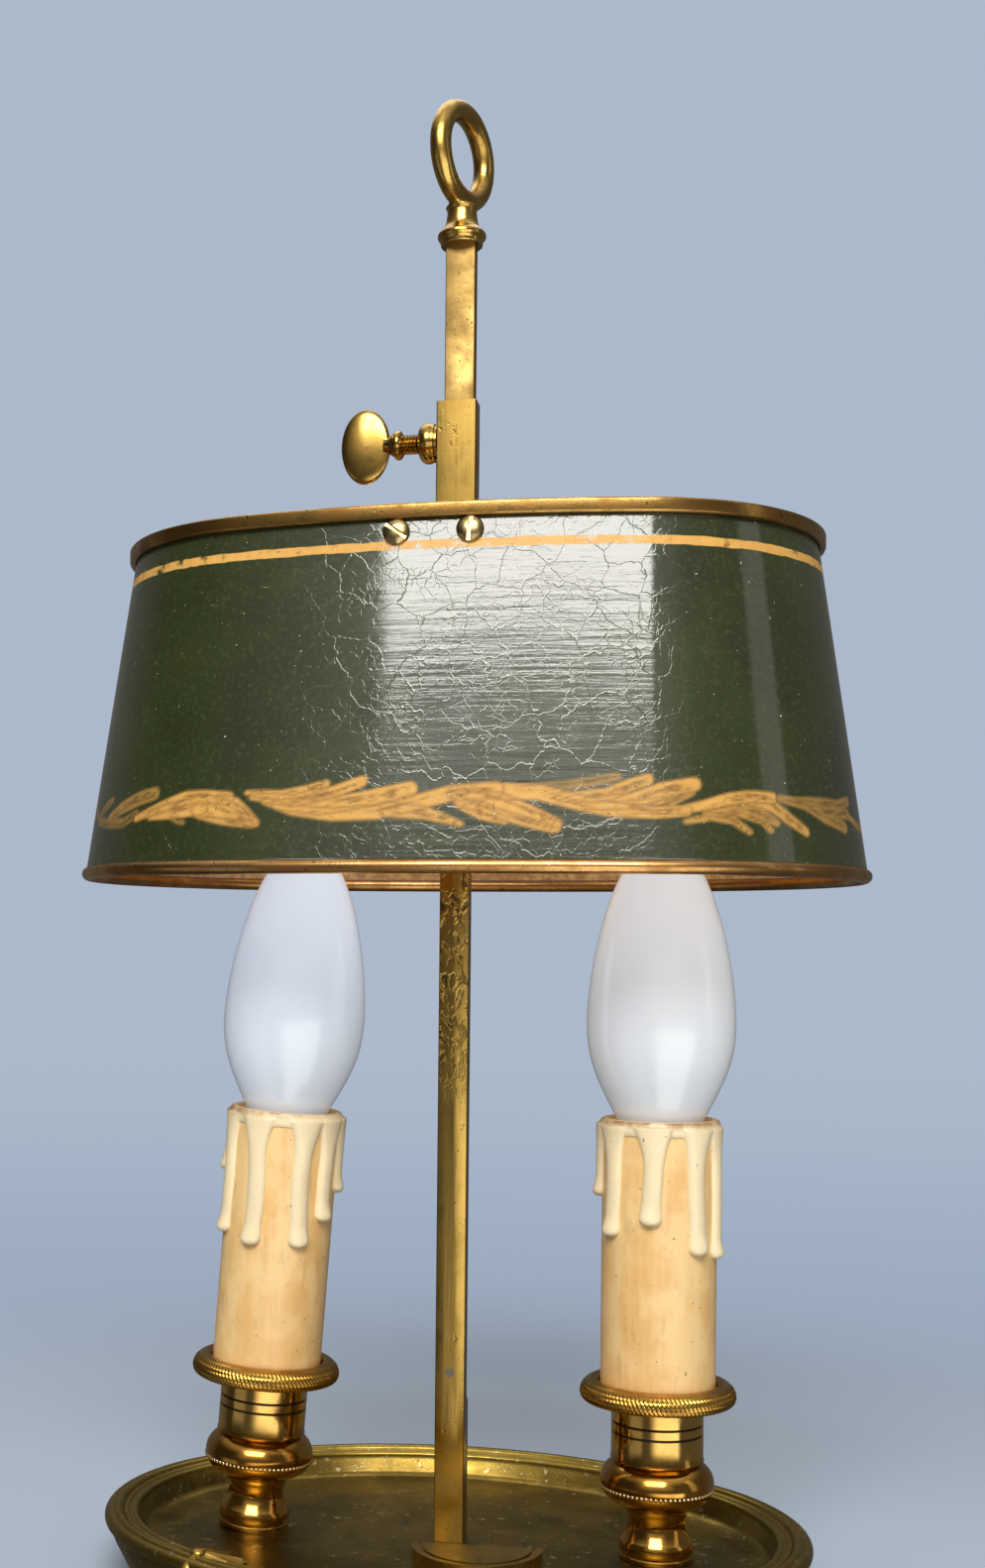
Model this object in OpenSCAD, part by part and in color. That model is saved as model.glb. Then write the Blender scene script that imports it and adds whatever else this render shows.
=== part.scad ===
// Two-light bouillotte lamp: an oval dish carries a flat bar stem and two candle-form lights,
// and an oval painted shade slides on the stem, held by a thumbscrew.
// Millimetres. Origin on the table under the stem, +Z up, +X to the right, front towards -Y.
// Every oval here is drawn with four arcs: two ends and two long, flatter sides.

/* [Dish] */
// Half the distance between the centres of the dish's two round ends
dish_span = 33.6; // [29.4:0.3:37.8]
// Radius of the dish's outline at its ends
dish_end_r = 52.8; // [49:0.2:58]
// How far the dish's long sides bulge past its end radius
dish_side = 11.2; // [9.2:0.2:13]
// Height of the dish's floor above the table
floor_z = 11; // [10.6:0.2:14]
// Height of the rim above the floor
rim_rise = 6.7; // [5.5:0.1:9]
// Thickness of the dish's floor
floor_t = 1.5; // [1.2:0.1:1.8]
// Thickness of the felt pad
felt_t = 1.2; // [1:0.1:1.5]
// Thickness of the bottom plate
plate_t = 0.8; // [0.6:0.1:1]
// Radius of the half-moon plaque
plaque_r = 15.5; // [12:0.5:18]
// Height of the half-moon plaque
plaque_h = 4; // [2:0.25:5]
// Turn of the plaque's straight edge
plaque_turn = 7; // [0:1:10]
// Radius of the hole for the cord
cord_r = 3; // [2.5:0.1:3.2]

/* [Stem and finial] */
// Width of the bar
stem_w = 7.3; // [6.4:0.1:8]
// Depth of the bar
stem_d = 4; // [3.6:0.1:5]
// Height of the bar's top above the floor
stem_h = 319; // [300:1:340]
// Height of the rear strip
brace_h = 33; // [20:1:60]
// Thickness of the rear strip
brace_t = 2; // [1.5:0.1:3]
// Height above the floor of the plugged hole
plug_z = 41.5; // [38:0.5:80]
// Radius of the collar under the ring
collar_r = 5.9; // [5.5:0.1:7]
// Radius of the ring's centre line
ring_r = 10.6; // [9:0.1:14]
// Radius of the ring's wire
ring_wire = 2.6; // [2:0.1:3]
// Turn of the ring about the stem
ring_turn = 69; // [0:1:180]

/* [Candle lights] */
// Distance between the two candles
candle_gap = 100; // [98:0.5:104]
// Lean of the left candle towards the stem, in degrees
left_lean = 4.2; // [0:0.1:5]
// Radius of the socket's cylinder
socket_r = 10.9; // [10.5:0.1:11.5]
// Radius of the socket's cup
cup_r = 13.5; // [12.5:0.1:14.5]
// Radius of the socket's foot
foot_r = 8.9; // [8.6:0.1:10]
// Height of the socket
socket_h = 37.5; // [35:0.5:40]
// Radius of the drip pan
pan_r = 18.6; // [17.5:0.1:20]
// Outer radius of the candle sleeve
candle_r = 13.6; // [13.4:0.1:14]
// Height of the candle sleeve
candle_h = 66.2; // [64:0.2:70]
// Wall of the candle sleeve
candle_wall = 1.3; // [1:0.1:1.4]
// Number of wax drips on each candle
drip_count = 8; // [5:1:10]
// Longest wax drip
drip_long = 32; // [24:1:36]
// Greatest radius of the bulb
bulb_r = 17.6; // [16.5:0.1:18]

/* [Shade] */
// Half the distance between the centres of the shade's round ends
shade_span = 37; // [35:0.5:39]
// How far the shade's long sides bulge past its end radius
shade_side = 3.7; // [3.2:0.1:4.2]
// End radius of the painted wall at the top
shade_top_r = 46; // [44:0.5:48]
// How much wider the wall is at the bottom
shade_flare = 11.7; // [9:0.1:14]
// Height of the painted wall
shade_h = 77; // [70:0.5:80]
// Height above the floor of the shade's bottom bead
shade_z = 162.9; // [160:0.1:166]
// Thickness of the painted wall
shade_t = 0.8; // [0.6:0.1:1]
// How far the shade sits to the right of the stem
shade_right = 2.3; // [0:0.1:3]
// Radius of the bottom bead
bead_r = 1.6; // [1.2:0.1:2]
// Width of the strap across the shade
strap_w = 26; // [24:0.5:30]
// Thickness of the strap
strap_t = 1.6; // [1.2:0.1:2]
// Distance between the two screws on one side of the shade
screw_gap = 16.4; // [14:0.2:18]

/* [Sleeve and thumbscrew] */
// Height of the sleeve on the stem
sleeve_h = 55; // [50:1:60]
// Thickness of the sleeve's front and back walls
sleeve_t = 1.3; // [1:0.1:1.8]
// Thickness of the sleeve's wall beside the thumbscrew
sleeve_left_t = 1.15; // [1:0.05:1.4]
// Thickness of the sleeve's wall on the far side
sleeve_right_t = 0.7; // [0.6:0.05:1.2]
// Radius of the thumbscrew's thread
thumb_r = 2.45; // [2:0.05:2.6]
// Thread between the boss and the thumbscrew's collar, when clamped
thumb_out = 4.2; // [3:0.1:6]
// Half height of the thumb plate
thumb_plate_h = 9.3; // [7.5:0.1:11]
// Half width of the thumb plate
thumb_plate_w = 6.2; // [5:0.1:7]
// Travel of the pressure shoe when the thumbscrew is let go
shoe_travel = 1.6; // [1:0.1:1.6]

/* [Fits] */
// Gap all round a piece that slides or turns in another
run_gap = 0.05; // [0.03:0.01:0.09]
// Gap round a piece that drops into a hole
drop_gap = 0.3; // [0.2:0.05:0.35]

/* [Hidden] */
$fn = 96;

// dish
rim_z = floor_z + rim_rise;
under_z = floor_z - floor_t;
plate_top = felt_t + plate_t;
plate_in = 9.4;
post_x = 33;
post_y = 31;
post_r = 3;
m3_r = 1.5;
m3_core = 1.25;
head_r = 2.8;
head_h = 0.9;
outlet_z = 6.2;
outlet_wall = 1.3;
outlet_len = 5;
outlet_in = 3.6;

leaf_t = 1.3;
plaque_x = 9;
plaque_y = -15;

// stem
stem_top = floor_z + stem_h;
tenon_r = 2;
washer_t = 0.8;
nut_h = 3;
stud_r = 1.5;
stud_h = 8;
collar_h = 2.8;
neck_h = 6;
ring_z = stem_top + collar_h + neck_h + ring_r + 1.9;

// candle lights: heights above the dish floor, along the candle's own axis
nipple_r = 5;
nipple_top_r = 4.85;
nipple_shoulder = 0.6;
nipple_bore = 3.5;
nipple_low = floor_t + washer_t + nut_h + 0.3;
washer_r = 8.5;
nut_flats = 14;
pan_t = 1.5;
pan_floor = socket_h + pan_t;
pan_lip = 3.3;
candle_low = pan_floor;
candle_top = candle_low + candle_h;
candle_in = candle_r - candle_wall;
holder_r = candle_in - 0.7;
holder_low = pan_floor;
holder_base = 6;
cap_top = candle_top - 11.2;
cap_h = 22;
cap_low = cap_top - cap_h;
cap_r = 6.95;
thread_pitch = 2.822;
thread_depth = 0.35;
shell_gap = 0.1;
shell_t = 0.95;
pip_low = cap_low - 4;
holder_top = cap_top - 2;
web_top = pip_low - 1.2;
web_t = 3;
bulb_mid = candle_top + 23.3;
bulb_tip_h = 44;
glass_t = 0.8;
neck_r = cap_r + 0.25;
wire_r = 0.8;
wire_step = 0.06;
wire_y = 1.1;
wire_z = plate_top + 1.5;
wire_end = web_top - web_t - 4;

// joining block
block_x = 20;
block_y = 9.4;
block_h = 5;
block_at = 27;
block_wire_y = 2.3;

// shade
shade_low = floor_z + shade_z;
wall_low = shade_low + bead_r;
wall_top = wall_low + shade_h;
shade_bottom_r = shade_top_r + shade_flare;
shade_angle = atan(shade_flare / shade_h);
shade_shift = side_shift(shade_span, shade_side);
screw_z = wall_top - 4.5;
strap_z = screw_z - 6.5;
flange_top = wall_top - 0.8;
screw_head_r = 2.7;

// sleeve
sleeve_low = strap_z - 6;
sleeve_top = sleeve_low + sleeve_h;
shoe_t = 0.5;
shoe_w = stem_d - 0.2;
shoe_h = 8;
shoe_x = -stem_w / 2 - 0.02 - shoe_t;
bore_left = shoe_x - run_gap;
bore_right = stem_w / 2 + run_gap;
bore_y = stem_d / 2 + run_gap;
sleeve_left = bore_left - sleeve_left_t;
sleeve_right = bore_right + sleeve_right_t;
sleeve_y = bore_y + sleeve_t;
thumb_z = sleeve_top - 9.5;
boss_r = 4.95;
boss_len = 4.7;
boss_x = sleeve_left - boss_len;

// ---- ovals and outlines ----

// distance of a long side's centre from the middle, for an oval of end span a and side bulge e,
// rounded so that all four arcs meet on the same planes
function side_shift(a, e) = round(500 * (a * a - e * e) / e) / 1000;
// angle at which the end arc meets the side arc
function side_angle(a, e) = atan2(side_shift(a, e), a);
// points of a circular arc
function arc(cx, cy, r, from, to, n) = [
    for (i = [0:n]) let (t = from + (to - from) * i / n) [cx + r * cos(t), cy + r * sin(t)]
];
// outline of an oval of end radius r
function oval(a, e, r, n = 18) =
    let (b = side_shift(a, e), t = side_angle(a, e), big = r + e + b)
    concat(
        arc(a, 0, r, -t, t, n), arc(0, -b, big, t, 180 - t, n),
        arc(-a, 0, r, 180 - t, 180 + t, n), arc(0, b, big, 180 + t, 360 - t, n)
    );

// sweep the child outline round an oval: its x is the distance outside the end radius r
module oval_sweep(a, e, r) {
    b = side_shift(a, e);
    for (turn = [0, 180]) rotate([0, 0, turn]) {
        intersection() {
            translate([a, 0, 0]) rotate_extrude($fn = 180) translate([r, 0]) children();
            wedge([[a, 0], [3 * a, -2 * b], [9 * a, -2 * b], [9 * a, 2 * b], [3 * a, 2 * b]]);
        }
        intersection() {
            translate([0, -b, 0]) rotate_extrude($fn = 720) translate([r + e + b, 0]) children();
            wedge([[0, -b], [3 * a, 2 * b], [-3 * a, 2 * b]]);
        }
    }
}

// tall block over the corners given
module wedge(corners) {
    linear_extrude(400) polygon(corners);
}

// a round bar from p to q and a little further
module bar(p, q, r, more) {
    d = q - p;
    translate(p) rotate([0, acos(d.z / norm(d)), atan2(d.y, d.x)]) cylinder(h = norm(d) + more, r = r);
}

// ---- dish ----

// section of the dish's rim and skirt, from the outline inwards
module rim_section() {
    ridge_z = rim_z - 1.1;
    polygon(concat(
        [[-9, 0.8], [-7.4, 0.8], [-6.9, 2], [-4.6, 6.5], [-2.2, rim_z - 6.5], [-1.9, rim_z - 4.2]],
        arc(-1.8, ridge_z - 1, 1.8, -70, 80, 8),
        arc(-3.4, ridge_z, 1.1, 30, 150, 6),
        arc(-5.4, ridge_z - 0.4, 0.9, 30, 150, 6),
        arc(-7.4, ridge_z - 0.6, 0.9, 40, 190, 6),
        [[-8.6, rim_z - 2.6], [-9.4, floor_z + 2.4]],
        arc(-12.2, floor_z + 2.6, 2.6, -20, -90, 6),
        [[-16, floor_z], [-16, under_z], [-11.6, under_z], [-9.2, floor_z + 0.2]],
        [[-8.2, rim_z - 4.4], [-5, rim_z - 4.2], [-4.5, rim_z - 7], [-8.4, 2.6], [-9, 2]]
    ));
}

module dish_rim() {
    oval_sweep(dish_span, dish_side, dish_end_r) rim_section();
}

module dish_floor() {
    translate([0, 0, under_z]) linear_extrude(floor_t) polygon(oval(dish_span, dish_side, dish_end_r - 14.6));
}

module each_post() {
    for (x = [-1, 1], y = [-1, 1]) translate([x * post_x, y * post_y, 0]) children();
}

module outlet_bore(r, len) {
    translate([0, dish_end_r + dish_side - outlet_in, outlet_z]) rotate([90, 0, 0]) cylinder(h = len, r = r);
}

module tray() color("#7d6d35") {
    difference() {
        union() {
            dish_rim();
            dish_floor();
            each_post() translate([0, 0, plate_top]) cylinder(h = under_z - plate_top + 0.5, r = post_r);
        }
        for (side = [-1, 1]) translate([side * candle_gap / 2, 0, under_z - 1])
            cylinder(h = floor_t + 2, r = nipple_r + drop_gap);
        translate([-stem_w / 2 - drop_gap, -stem_d / 2 - drop_gap, under_z - 1])
            cube([stem_w + 2 * drop_gap, stem_d + 2 * drop_gap, floor_t + 2]);
        each_post() translate([0, 0, plate_top - 1]) cylinder(h = 5.5, r = m3_core);
        translate([0, outlet_in, 0]) outlet_bore(cord_r + outlet_wall + run_gap, outlet_len + outlet_in + 0.6);
    }
}

// one pointed leaf along +X, a flat plate
module leaf(len, half) {
    translate([0, 0, -leaf_t / 2]) linear_extrude(leaf_t) polygon([
        [0.1, -0.4 * half], [0.3 * len, -0.9 * half], [0.5 * len, -half],
        [0.8 * len, -0.6 * half], [len, -0.1 * half], [len, 0.1 * half],
        [0.8 * len, 0.6 * half], [0.5 * len, half], [0.3 * len, 0.9 * half], [0.1, 0.4 * half]
    ]);
}

// cast leaf mount: leaves fan out over the rim from a knot, and one turns down outside it
module leaf_mount() {
    translate([-3.6, 0, rim_z - 0.4]) {
        cylinder(h = 1.5, r = 2.3);
        for (a = [-78, -46, -15, 15, 46, 78]) rotate([0, 12, 180 + a]) leaf(9 + 3.5 * abs(sin(a)), 1.7);
        rotate([0, 12, 0]) leaf(5.4, 2);
        translate([4.6, 0, -0.4]) rotate([0, 68, 0]) leaf(6.5, 1.9);
    }
}

module leaf_mounts() color("#9b8a4c") {
    at = 70;
    for (side = [-1, 1]) translate([side * dish_span, 0, 0])
        rotate([0, 0, side > 0 ? -at : 180 + at]) translate([dish_end_r, 0, 0]) leaf_mount();
}

module plaque() color("#8a7940") {
    translate([plaque_x, plaque_y, floor_z]) rotate([0, 0, plaque_turn]) difference() {
        cylinder(h = plaque_h, r = plaque_r);
        translate([-plaque_r - 1, 0, -1]) cube([2 * plaque_r + 2, plaque_r + 2, plaque_h + 2]);
        translate([0, 0, plaque_h - 0.7]) difference() {
            cylinder(h = 1, r = plaque_r - 1.5);
            translate([0, 0, -1]) cylinder(h = 3, r = plaque_r - 2.5);
        }
    }
}

module bottom_plate() color("#6f6a5e") {
    difference() {
        translate([0, 0, felt_t]) linear_extrude(plate_t)
            polygon(oval(dish_span, dish_side, dish_end_r - plate_in));
        each_post() cylinder(h = plate_top + 1, r = m3_r + run_gap);
    }
}

module felt_pad() color("#2f4a34") {
    difference() {
        linear_extrude(felt_t) polygon(oval(dish_span, dish_side, dish_end_r - plate_in));
        each_post() translate([0, 0, -1]) cylinder(h = felt_t + 2, r = head_r + drop_gap);
    }
}

module plate_screws() color("#8c8470") {
    each_post() difference() {
        union() {
            translate([0, 0, felt_t - head_h]) cylinder(h = head_h, r = head_r);
            translate([0, 0, felt_t]) cylinder(h = plate_t + 4, r = m3_core);
        }
        translate([-0.4, -head_r - 1, felt_t - head_h - 1]) cube([0.8, 2 * head_r + 2, 1.5]);
    }
}

module cord_grommet() color("#23211d") {
    difference() {
        outlet_bore(cord_r + outlet_wall, outlet_len);
        translate([0, 1, 0]) outlet_bore(cord_r, outlet_len + 2);
    }
}

module joining_block() color("#e8e2d2") {
    translate([0, block_at, plate_top]) difference() {
        translate([-block_x / 2, -block_y / 2, 0]) cube([block_x, block_y, block_h]);
        for (y = [-block_wire_y, block_wire_y]) translate([-block_x / 2 - 1, y, wire_z - plate_top])
            rotate([0, 90, 0]) cylinder(h = block_x + 2, r = wire_r + run_gap);
        for (x = [-6, 6], y = [-block_wire_y, block_wire_y]) translate([x, y, wire_z - plate_top])
            cylinder(h = block_h, r = m3_core + run_gap);
    }
}

module block_screws() color("#b59a4e") {
    translate([0, block_at, wire_z]) for (x = [-6, 6], y = [-block_wire_y, block_wire_y])
        translate([x, y, wire_r + run_gap]) cylinder(h = 2.2, r = m3_core);
}

// ---- stem and finial ----

module stem() color("#b58f3c") {
    difference() {
        union() {
            translate([-stem_w / 2, -stem_d / 2, under_z]) cube([stem_w, stem_d, stem_top - under_z]);
            translate([0, 0, under_z - washer_t - nut_h]) cylinder(h = washer_t + nut_h + 1, r = tenon_r);
        }
        translate([0, 0, stem_top - stud_h - 0.5]) cylinder(h = stud_h + 1, r = stud_r + run_gap);
        translate([0, stem_d, floor_z + plug_z]) rotate([90, 0, 0]) cylinder(h = 2 * stem_d, r = 1.1);
    }
}

module stem_plug() color("#7b776c") {
    translate([0, stem_d / 2, floor_z + plug_z]) rotate([90, 0, 0]) cylinder(h = stem_d + 0.1, r = 1.1);
}

module stem_brace() color("#8a6c2c") {
    translate([0, stem_d / 2, floor_z]) {
        translate([-stem_w / 2, 0, 0]) cube([stem_w, brace_t, brace_h]);
        translate([0, brace_t, brace_h]) rotate([90, 0, 0]) cylinder(h = brace_t, r = stem_w / 2);
    }
}

module washer(bore, r) {
    difference() {
        cylinder(h = washer_t, r = r);
        translate([0, 0, -1]) cylinder(h = washer_t + 2, r = bore);
    }
}

module nut(bore, across, h) {
    difference() {
        cylinder(h = h, r = across / sqrt(3), $fn = 6);
        translate([0, 0, -1]) cylinder(h = h + 2, r = bore);
    }
}

module stem_washer() color("#a08644") {
    translate([0, 0, under_z - washer_t]) washer(tenon_r + run_gap, 6);
}

module stem_nut() color("#a08644") {
    translate([0, 0, under_z - washer_t - nut_h]) nut(tenon_r + 0.01, 7, nut_h);
}

module finial() color("#c9a24a") {
    translate([0, 0, stem_top]) rotate_extrude() polygon(concat(
        [[0, -stud_h], [stud_r, -stud_h], [stud_r, 0], [collar_r - 0.5, 0]],
        arc(collar_r - 0.9, collar_h / 2, 0.9, -50, 50, 6),
        [[collar_r - 0.8, collar_h], [4.6, collar_h + 0.4], [4, collar_h + 1.4], [3.8, collar_h + 3]],
        arc(5.2, collar_h + neck_h - 1.6, 1.4, 180, 110, 5),
        [[0, collar_h + neck_h + 0.4]]
    ));
    translate([0, 0, ring_z]) rotate([90, 0, ring_turn])
        rotate_extrude() translate([ring_r, 0]) circle(r = ring_wire, $fn = 48);
}

// ---- candle lights ----

// stand the child on the dish floor where a candle stands: side -1 is left, 1 is right
module stand(side) {
    translate([side * candle_gap / 2, 0, floor_z]) rotate([0, side < 0 ? left_lean : 0, 0]) children();
}

// turned socket: foot, waist, cup with a bead line, cylinder with two grooves
module socket(side) color("#b9893a") {
    cup_z = socket_h - 19.1;
    difference() {
        stand(side) difference() {
            rotate_extrude() polygon(concat(
                [[nipple_r + drop_gap, -1], [foot_r - 0.3, -1], [foot_r - 0.3, 0.8]],
                arc(foot_r - 1.5, 3.4, 1.5, -50, 50, 6),
                arc(foot_r + 3.55, 9, 5.6, 222, 150, 8),
                [[7.6, cup_z - 5.4], [8.4, cup_z - 4.6]],
                arc(cup_r - 5.2, cup_z, 5.2, -62, -16, 6),
                [[cup_r - 0.45, cup_z - 1.1]],
                arc(cup_r - 5.2, cup_z, 5.2, -8, 68, 10),
                [[socket_r + 0.2, cup_z + 5.6], [socket_r, cup_z + 6.2]],
                groove(socket_h - 7.1),
                groove(socket_h - 4.7),
                [[socket_r, socket_h], [nipple_top_r + run_gap, socket_h]],
                [[nipple_top_r + run_gap, nipple_shoulder + 1], [nipple_r + drop_gap, nipple_shoulder + 1]]
            ));
        }
        translate([side * candle_gap / 2 - 20, -20, floor_z - 5]) cube([40, 40, 5]);
    }
}
function groove(z) = [
    [socket_r, z - 0.25], [socket_r - 0.4, z - 0.15], [socket_r - 0.4, z + 0.15], [socket_r, z + 0.25]
];

module socket_left() { socket(-1); }
module socket_right() { socket(1); }

// threaded tube: upright through the dish floor, and thinner along the candle above it
module nipple(side) color("#c2a765") {
    x = side * candle_gap / 2;
    difference() {
        union() {
            stand(side) cylinder(h = holder_low + holder_base, r = nipple_top_r);
            translate([x, 0, floor_z - nipple_low]) cylinder(h = nipple_low + nipple_shoulder, r = nipple_r);
        }
        stand(side) translate([0, 0, -0.3]) cylinder(h = holder_top, r = nipple_bore - 0.2);
        translate([x, 0, floor_z - nipple_low - 1]) cylinder(h = nipple_low + 1.2, r = nipple_bore);
    }
}
module nipple_left() { nipple(-1); }
module nipple_right() { nipple(1); }

module nipple_washers() color("#a08644") {
    for (side = [-1, 1]) translate([side * candle_gap / 2, 0, under_z - washer_t])
        washer(nipple_r + run_gap, washer_r);
}

module nipple_nuts() color("#a08644") {
    for (side = [-1, 1]) translate([side * candle_gap / 2, 0, under_z - washer_t - nut_h])
        nut(nipple_r + run_gap, nut_flats, nut_h);
}

module drip_pan(side) color("#a9802f") {
    stand(side) rotate_extrude() polygon(concat(
        [[nipple_top_r + run_gap, socket_h], [pan_r - 1.8, socket_h]],
        arc(pan_r - 1.8, socket_h + 1.8, 1.8, -80, 0, 6),
        arc(pan_r - pan_lip, socket_h + 1.8, pan_lip, 8, 90, 8),
        [[candle_r + 0.8, socket_h + 1.8 + pan_lip], [candle_r + 0.5, socket_h + 4.4]],
        [[candle_r + 0.5, pan_floor]],
        [[nipple_top_r + run_gap, pan_floor]]
    ));
}
module drip_pan_left() { drip_pan(-1); }
module drip_pan_right() { drip_pan(1); }

module candle(side) color("#d9b06a") {
    stand(side) translate([0, 0, candle_low]) difference() {
        cylinder(h = candle_h, r = candle_r);
        translate([0, 0, -1]) cylinder(h = candle_h + 2, r = candle_in);
    }
}
module candle_left() { candle(-1); }
module candle_right() { candle(1); }

// wax round the top of the candle: a collar and round-ended runs of uneven length
module wax_drips(side) color("#efe0bd") {
    collar = 3.2;
    stand(side) difference() {
        union() {
            translate([0, 0, candle_top - collar]) cylinder(h = collar, r = candle_r + 0.5);
            for (i = [0:drip_count - 1]) rotate([0, 0, 360 / drip_count * (i + 0.16 * sin(230 * i))]) {
                run = drip_long * (0.62 + 0.38 * sin(137 * i + 40));
                translate([candle_r - 0.3, 0, candle_top - run]) {
                    cylinder(h = run - 1, r = 1.3, $fn = 32);
                    sphere(r = 1.75, $fn = 32);
                }
            }
        }
        translate([0, 0, candle_low]) cylinder(h = candle_h + 1, r = candle_r + 0.01);
    }
}
module wax_drips_left() { wax_drips(-1); }
module wax_drips_right() { wax_drips(1); }

// insulating lampholder body, hollow below for its terminals and above for the screw shell
module lampholder(side) color("#e6dfcf") {
    stand(side) difference() {
        translate([0, 0, holder_low]) cylinder(h = holder_top - holder_low, r = holder_r);
        translate([0, 0, holder_low - 1]) cylinder(h = holder_base + 2, r = nipple_top_r + run_gap);
        translate([0, 0, holder_low + holder_base])
            cylinder(h = web_top - web_t - holder_low - holder_base, r = holder_r - 2);
        translate([0, 0, web_top]) cylinder(h = holder_top, r = cap_r + shell_gap + shell_t + run_gap);
        cylinder(h = web_top + 1, r = 1 + run_gap, $fn = 32);
        translate([5.4, 0, 0]) cylinder(h = web_top + 1, r = 1 + run_gap, $fn = 32);
    }
}
module lampholder_left() { lampholder(-1); }
module lampholder_right() { lampholder(1); }

// thread wave of a screw shell or a cap: deep shrinks or grows the radius once a pitch
function thread(r, deep, low, high, n = 6) = [
    for (i = [0:floor((high - low) / thread_pitch * n)])
        [r + deep * (0.5 - 0.5 * cos(360 * i / n)), low + i * thread_pitch / n]
];

module screw_shell(side) color("#c8a85a") {
    outer = cap_r + shell_gap + shell_t;
    stand(side) {
        rotate_extrude() polygon(concat(
            [[outer, holder_top - 0.4], [outer, web_top], [cap_r + shell_gap, web_top]],
            thread(cap_r + shell_gap, thread_depth, cap_low, cap_top - 5),
            [[cap_r + shell_gap, holder_top - 0.4]]
        ));
        translate([5.4, 0, web_top - web_t - 4]) cylinder(h = web_t + 4.3, r = 1, $fn = 32);
        translate([5.4 - 1, -1, web_top]) cube([3, 2, 0.3]);
    }
}
module screw_shell_left() { screw_shell(-1); }
module screw_shell_right() { screw_shell(1); }

module contact(side) color("#c98f4a") {
    stand(side) {
        translate([0, 0, web_top - web_t - 4]) cylinder(h = web_t + 4.2, r = 1, $fn = 32);
        translate([0, 0, web_top]) cylinder(h = pip_low - run_gap - web_top, r = 2.4, $fn = 48);
    }
}
module contact_left() { contact(-1); }
module contact_right() { contact(1); }

// outline of the bulb's glass: half a cosine up from the neck, then a blunt flame to the tip
function bulb_low(n = 12) = [
    for (i = [0:n]) let (t = 1 - i / n, swell = 0.5 + 0.5 * cos(180 * pow(t, 1.22)))
        [neck_r + (bulb_r - neck_r) * swell, bulb_mid - (bulb_mid - cap_top) * t]
];
function bulb_high(n = 22) = [
    for (i = [1:n]) let (t = sin(90 * i / n))
        [bulb_r * sqrt(max(0, 1 - pow(t, 1.62))), bulb_mid + bulb_tip_h * t]
];
function thinner(points) = [for (p = points) [max(0, p.x - glass_t), p.y]];

module bulb_glass(side) color("#f1efe9") {
    stand(side) difference() {
        rotate_extrude() polygon(concat([[0, cap_top]], bulb_low(), bulb_high()));
        rotate_extrude() polygon(concat(
            [[0, cap_top - 1], [neck_r - glass_t, cap_top - 1]], thinner(bulb_low()),
            [for (p = bulb_high(16)) if (p.x > 3) [p.x - glass_t, p.y - 0.4]],
            [[0, bulb_mid + bulb_tip_h - 1.6]]
        ));
    }
}
module bulb_glass_left() { bulb_glass(-1); }
module bulb_glass_right() { bulb_glass(1); }

module bulb_cap(side) color("#c9c6bd") {
    stand(side) difference() {
        rotate_extrude() polygon(concat(
            [[0, cap_low], [cap_r - 1.4, cap_low]],
            thread(cap_r, -thread_depth, cap_low + 1.4, cap_top - 5),
            [[cap_r, cap_top - 4], [cap_r, cap_top], [0, cap_top]]
        ));
        translate([0, 0, cap_low + 1.2]) cylinder(h = cap_h, r = cap_r - 0.9);
    }
}
module bulb_cap_left() { bulb_cap(-1); }
module bulb_cap_right() { bulb_cap(1); }

module bulb_foot(side) color("#1d1c20") {
    stand(side) translate([0, 0, pip_low + 1]) cylinder(h = cap_low - pip_low - 1, r1 = 2.6, r2 = cap_r - 1.6);
}
module bulb_foot_left() { bulb_foot(-1); }
module bulb_foot_right() { bulb_foot(1); }

module bulb_pip(side) color("#b9b5aa") {
    stand(side) translate([0, 0, pip_low]) cylinder(h = 1, r1 = 1.6, r2 = 2.2);
}
module bulb_pip_left() { bulb_pip(-1); }
module bulb_pip_right() { bulb_pip(1); }

// wires of one light: down through the threaded tube, then under the floor to the joining block;
// each length is a little thinner than the one that it runs out of
module wires(side) color("#8c2f28") {
    x = side * candle_gap / 2;
    lean = side < 0 ? left_lean : 0;
    for (way = [-1, 1]) {
        upper = [x + wire_end * sin(lean), way * wire_y, floor_z + wire_end * cos(lean)];
        low = [x, way * wire_y, wire_z];
        turn = [side * (block_x / 2 + 4), block_at + way * block_wire_y, wire_z];
        end = [side * 4.4, block_at + way * block_wire_y, wire_z];
        bar(upper, low, wire_r, wire_r - 0.02);
        bar(low, turn, wire_r - wire_step, wire_r - wire_step);
        bar(turn, end, wire_r - 2 * wire_step, 0);
    }
}
module wires_left() { wires(-1); }
module wires_right() { wires(1); }

// ---- shade ----

module on_shade() {
    translate([shade_right, 0, 0]) children();
}

module shade_wall() color("#3d3f22") {
    on_shade() difference() {
        oval_sweep(shade_span, shade_side, shade_top_r) polygon([
            [shade_flare, wall_low], [0, wall_top], [-shade_t, wall_top], [shade_flare - shade_t, wall_low]
        ]);
        each_screw() screw_hole();
    }
}

module shade_lip() color("#b48b3e") {
    on_shade() oval_sweep(shade_span, shade_side, shade_top_r) polygon([
        [-1.1, wall_top], [-1.1, wall_top + 1.2], [-0.6, wall_top + 1.7], [1.2, wall_top + 1.7],
        [1.8, wall_top + 1.1], [1.8, wall_top - 1.2], [1.3, wall_top - 1.7], [0.5, wall_top - 1.7],
        [0.3, wall_top]
    ]);
}

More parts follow.
